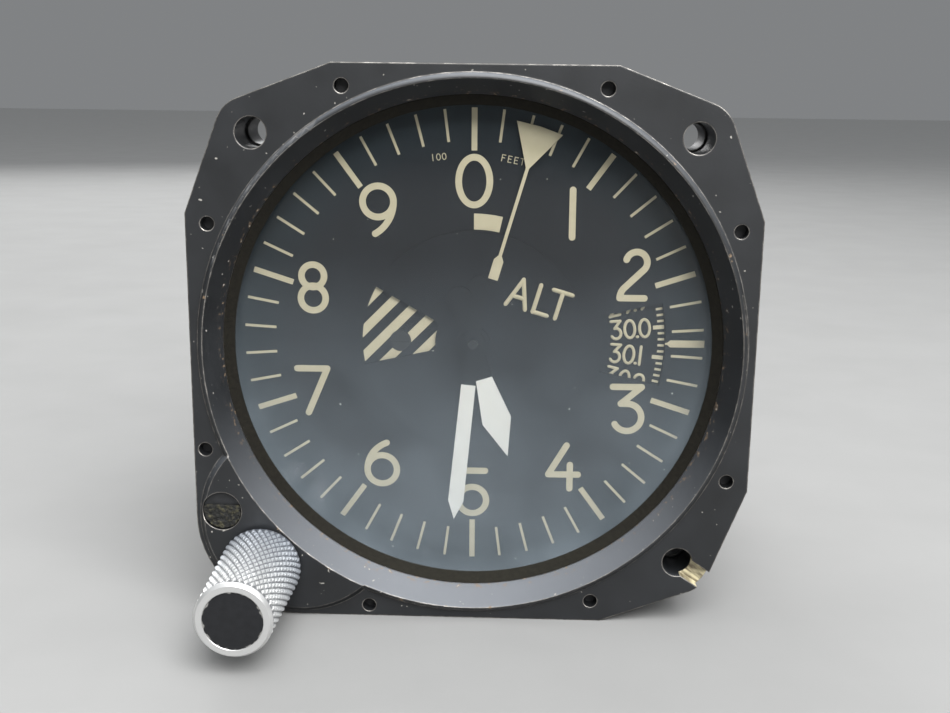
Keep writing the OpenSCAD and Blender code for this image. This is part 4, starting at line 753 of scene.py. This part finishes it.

# Bare aluminium: paler on the crests and darker grey in the grooves, graded by their depth.
PALE_DEPTH = 0.1 * MM
bare_metal, tree, shader, place = new_material("bare knurled aluminium")
centred = add(tree, "ShaderNodeMapping", {"Vector": place, "Location": (-grip.x, 0.0, -grip.z)})
axes = add(tree, "ShaderNodeSeparateXYZ", {"Vector": place})
outline = add(tree, "ShaderNodeMath", {0: axes.outputs["Y"], 1: SLOPE, 2: FRONT_R - grip_low.y * SLOPE},
              operation="MULTIPLY_ADD")
depth = add(tree, "ShaderNodeMath", {0: from_axis(tree, centred.outputs["Vector"]),
                                     1: outline.outputs["Value"]}, operation="SUBTRACT")
groove = add(tree, "ShaderNodeMapRange", {"Value": depth.outputs["Value"], "From Min": -CREST,
                                          "From Max": -PALE_DEPTH})
on_ring = add(tree, "ShaderNodeMath", {0: axes.outputs["Y"], 1: KNURL_FRONT}, operation="LESS_THAN")
groove_tone = add(tree, "ShaderNodeMix", {"Factor": groove.outputs["Result"], "A": linear("#9b9c9e"),
                                   "B": linear("#f6f6f4")}, data_type="RGBA")
# Painted shade: the grip is darkened and tinted blue-grey towards the frame, standing in for the frame's
# shadow and its dark reflection in the metal
painted_frame_shade = add(tree, "ShaderNodeMapRange", {"Value": axes.outputs["Y"], "From Min": KNURL_FRONT,
                                             "From Max": KNURL_BACK, "To Max": 0.8})
frame_shaded_grip = add(tree, "ShaderNodeMix", {"Factor": painted_frame_shade.outputs["Result"], "A": groove_tone.outputs[2],
                                     "B": linear("#aeb7c6")}, data_type="RGBA", blend_type="MULTIPLY")
ringed = add(tree, "ShaderNodeMix", {"Factor": on_ring.outputs["Value"], "A": frame_shaded_grip.outputs[2],
                                     "B": linear("#cbcbca")}, data_type="RGBA")
tree.links.new(ringed.outputs[2], shader.inputs["Base Color"])
shader.inputs["Metallic"].default_value = 0.7
satin = add(tree, "ShaderNodeTexNoise", {"Vector": place, "Scale": 1 / (0.6 * MM), "Detail": 3.0})
gloss = add(tree, "ShaderNodeMapRange", {"Value": satin.outputs["Fac"], "To Min": 0.24, "To Max": 0.4})
tree.links.new(gloss.outputs["Result"], shader.inputs["Roughness"])
knob_grip.data.materials.append(bare_metal)
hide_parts("setting_knob")
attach(knob_grip, "knob")

# Black moulded plastic: dull and faintly mottled.
# The disc's edge is scuffed pale in places where it was pressed in.
SCUFF_WANDER = 1.6 * MM
SCUFF_FROM = CAP_R + 0.68 * MM
SCUFF_FULL = CAP_R + 0.8 * MM
cap_plastic, tree, shader, place = new_material("black moulded plastic")
scuff = add(tree, "ShaderNodeTexNoise", {"Vector": place, "Scale": 1 / (1.1 * MM), "Detail": 6.0})
shader.inputs["Specular IOR Level"].default_value = 0.3
tint = add(tree, "ShaderNodeMix", {"Factor": scuff.outputs["Fac"], "A": linear("#0e0f11"),
                                   "B": linear("#1d1e21")}, data_type="RGBA")
centred = add(tree, "ShaderNodeMapping", {"Vector": place, "Location": (-grip.x, 0.0, -grip.z)})
wander = add(tree, "ShaderNodeMath", {0: scuff.outputs["Fac"], 1: SCUFF_WANDER,
                                      2: from_axis(tree, centred.outputs["Vector"])},
             operation="MULTIPLY_ADD")
scuffed = add(tree, "ShaderNodeMapRange", {"Value": wander.outputs["Value"], "From Min": SCUFF_FROM,
                                           "From Max": SCUFF_FULL, "To Max": 0.7})
edged = add(tree, "ShaderNodeMix", {"Factor": scuffed.outputs["Result"], "A": tint.outputs[2],
                                    "B": linear("#8d8c88")}, data_type="RGBA")
tree.links.new(edged.outputs[2], shader.inputs["Base Color"])
shader.inputs["Roughness"].default_value = 0.62
rough = add(tree, "ShaderNodeBump", {"Height": scuff.outputs["Fac"], "Strength": 0.25,
                                     "Distance": 0.1 * MM})
tree.links.new(rough.outputs["Normal"], shader.inputs["Normal"])
dress(cap_plastic, "knob_cap")

# Floor and light: a pale matt table under a soft white ceiling, with lamps above, in front and behind.
# The instrument stands on the lower edge of its flange.
# The table's size, and how far its middle lies behind the dial, in metres
TABLE_SIZE = 6
TABLE_BACK = 1
bpy.ops.object.select_all(action="DESELECT")
bpy.ops.mesh.primitive_plane_add(size=TABLE_SIZE, location=(0, TABLE_BACK, cad_box[0].z))
table = bpy.context.active_object
table.name = "floor"
table_top, tree, shader, place = new_material("pale matt table")
tone = add(tree, "ShaderNodeTexNoise", {"Vector": place, "Scale": 1 / (30 * MM), "Detail": 4.0})
tint = add(tree, "ShaderNodeMix", {"Factor": tone.outputs["Fac"], "A": linear("#7d7d7c"),
                                   "B": linear("#878786")}, data_type="RGBA")
tree.links.new(tint.outputs[2], shader.inputs["Base Color"])
shader.inputs["Roughness"].default_value = 0.9
table.data.materials.append(table_top)

world = bpy.data.worlds.new("studio")
world.use_nodes = True
tree = world.node_tree
direction = add(tree, "ShaderNodeTexCoord", {})
height = add(tree, "ShaderNodeSeparateXYZ", {"Vector": direction.outputs["Generated"]})
ceiling = add(tree, "ShaderNodeMapRange", {"Value": height.outputs["Z"], "From Min": 0.15, "From Max": 0.9,
                                           "To Min": 0.28, "To Max": 1.1})
backdrop = tree.nodes["Background"]
backdrop.inputs["Color"].default_value = linear("#e4e7ea")
tree.links.new(ceiling.outputs["Result"], backdrop.inputs["Strength"])
bpy.context.scene.world = world

# Each square lamp with its place and size in metres and its power in watts, turned to the dial
LAMPS = (
    ("top lamp", (0.05, 0.08, 0.7), 0.6, 2.4),
    ("front lamp", (0.25, -0.53, 0.63), 0.75, 19.0),
    ("rear lamp", (-0.3, 0.8, 0.5), 0.6, 6.0),
)
for name, spot, size, power in LAMPS:
    lamp = bpy.data.lights.new(name, "AREA")
    lamp.size = size
    lamp.energy = power
    holder = bpy.data.objects.new(name, lamp)
    bpy.context.collection.objects.link(holder)
    holder.location = spot
    holder.rotation_euler = (-Vector(spot)).to_track_quat("-Z", "Y").to_euler()
bpy.context.scene.view_settings.view_transform = "Standard"

# Camera: in front of the dial, a little above it and to the right, as the photograph was taken.
# Its lens and place come from the frame's corners and holes in the photograph.
CAMERA_AT = Vector((4.97, -167.03, 37.48)) * MM
sight = Vector((-0.0258, 0.9752, -0.2200)).normalized()
up = Vector((-0.0186, 0.2195, 0.9754))
right = sight.cross(up).normalized()
up = right.cross(sight)
lens = bpy.data.cameras.new("camera")
lens.sensor_fit = "HORIZONTAL"
lens.sensor_width = 36
lens.lens = 44.59
lens.clip_start = 0.01
camera = bpy.data.objects.new("camera", lens)
bpy.context.collection.objects.link(camera)
camera.matrix_world = Matrix((
    (right.x, up.x, -sight.x, CAMERA_AT.x),
    (right.y, up.y, -sight.y, CAMERA_AT.y),
    (right.z, up.z, -sight.z, CAMERA_AT.z),
    (0, 0, 0, 1),
))
bpy.context.scene.camera = camera
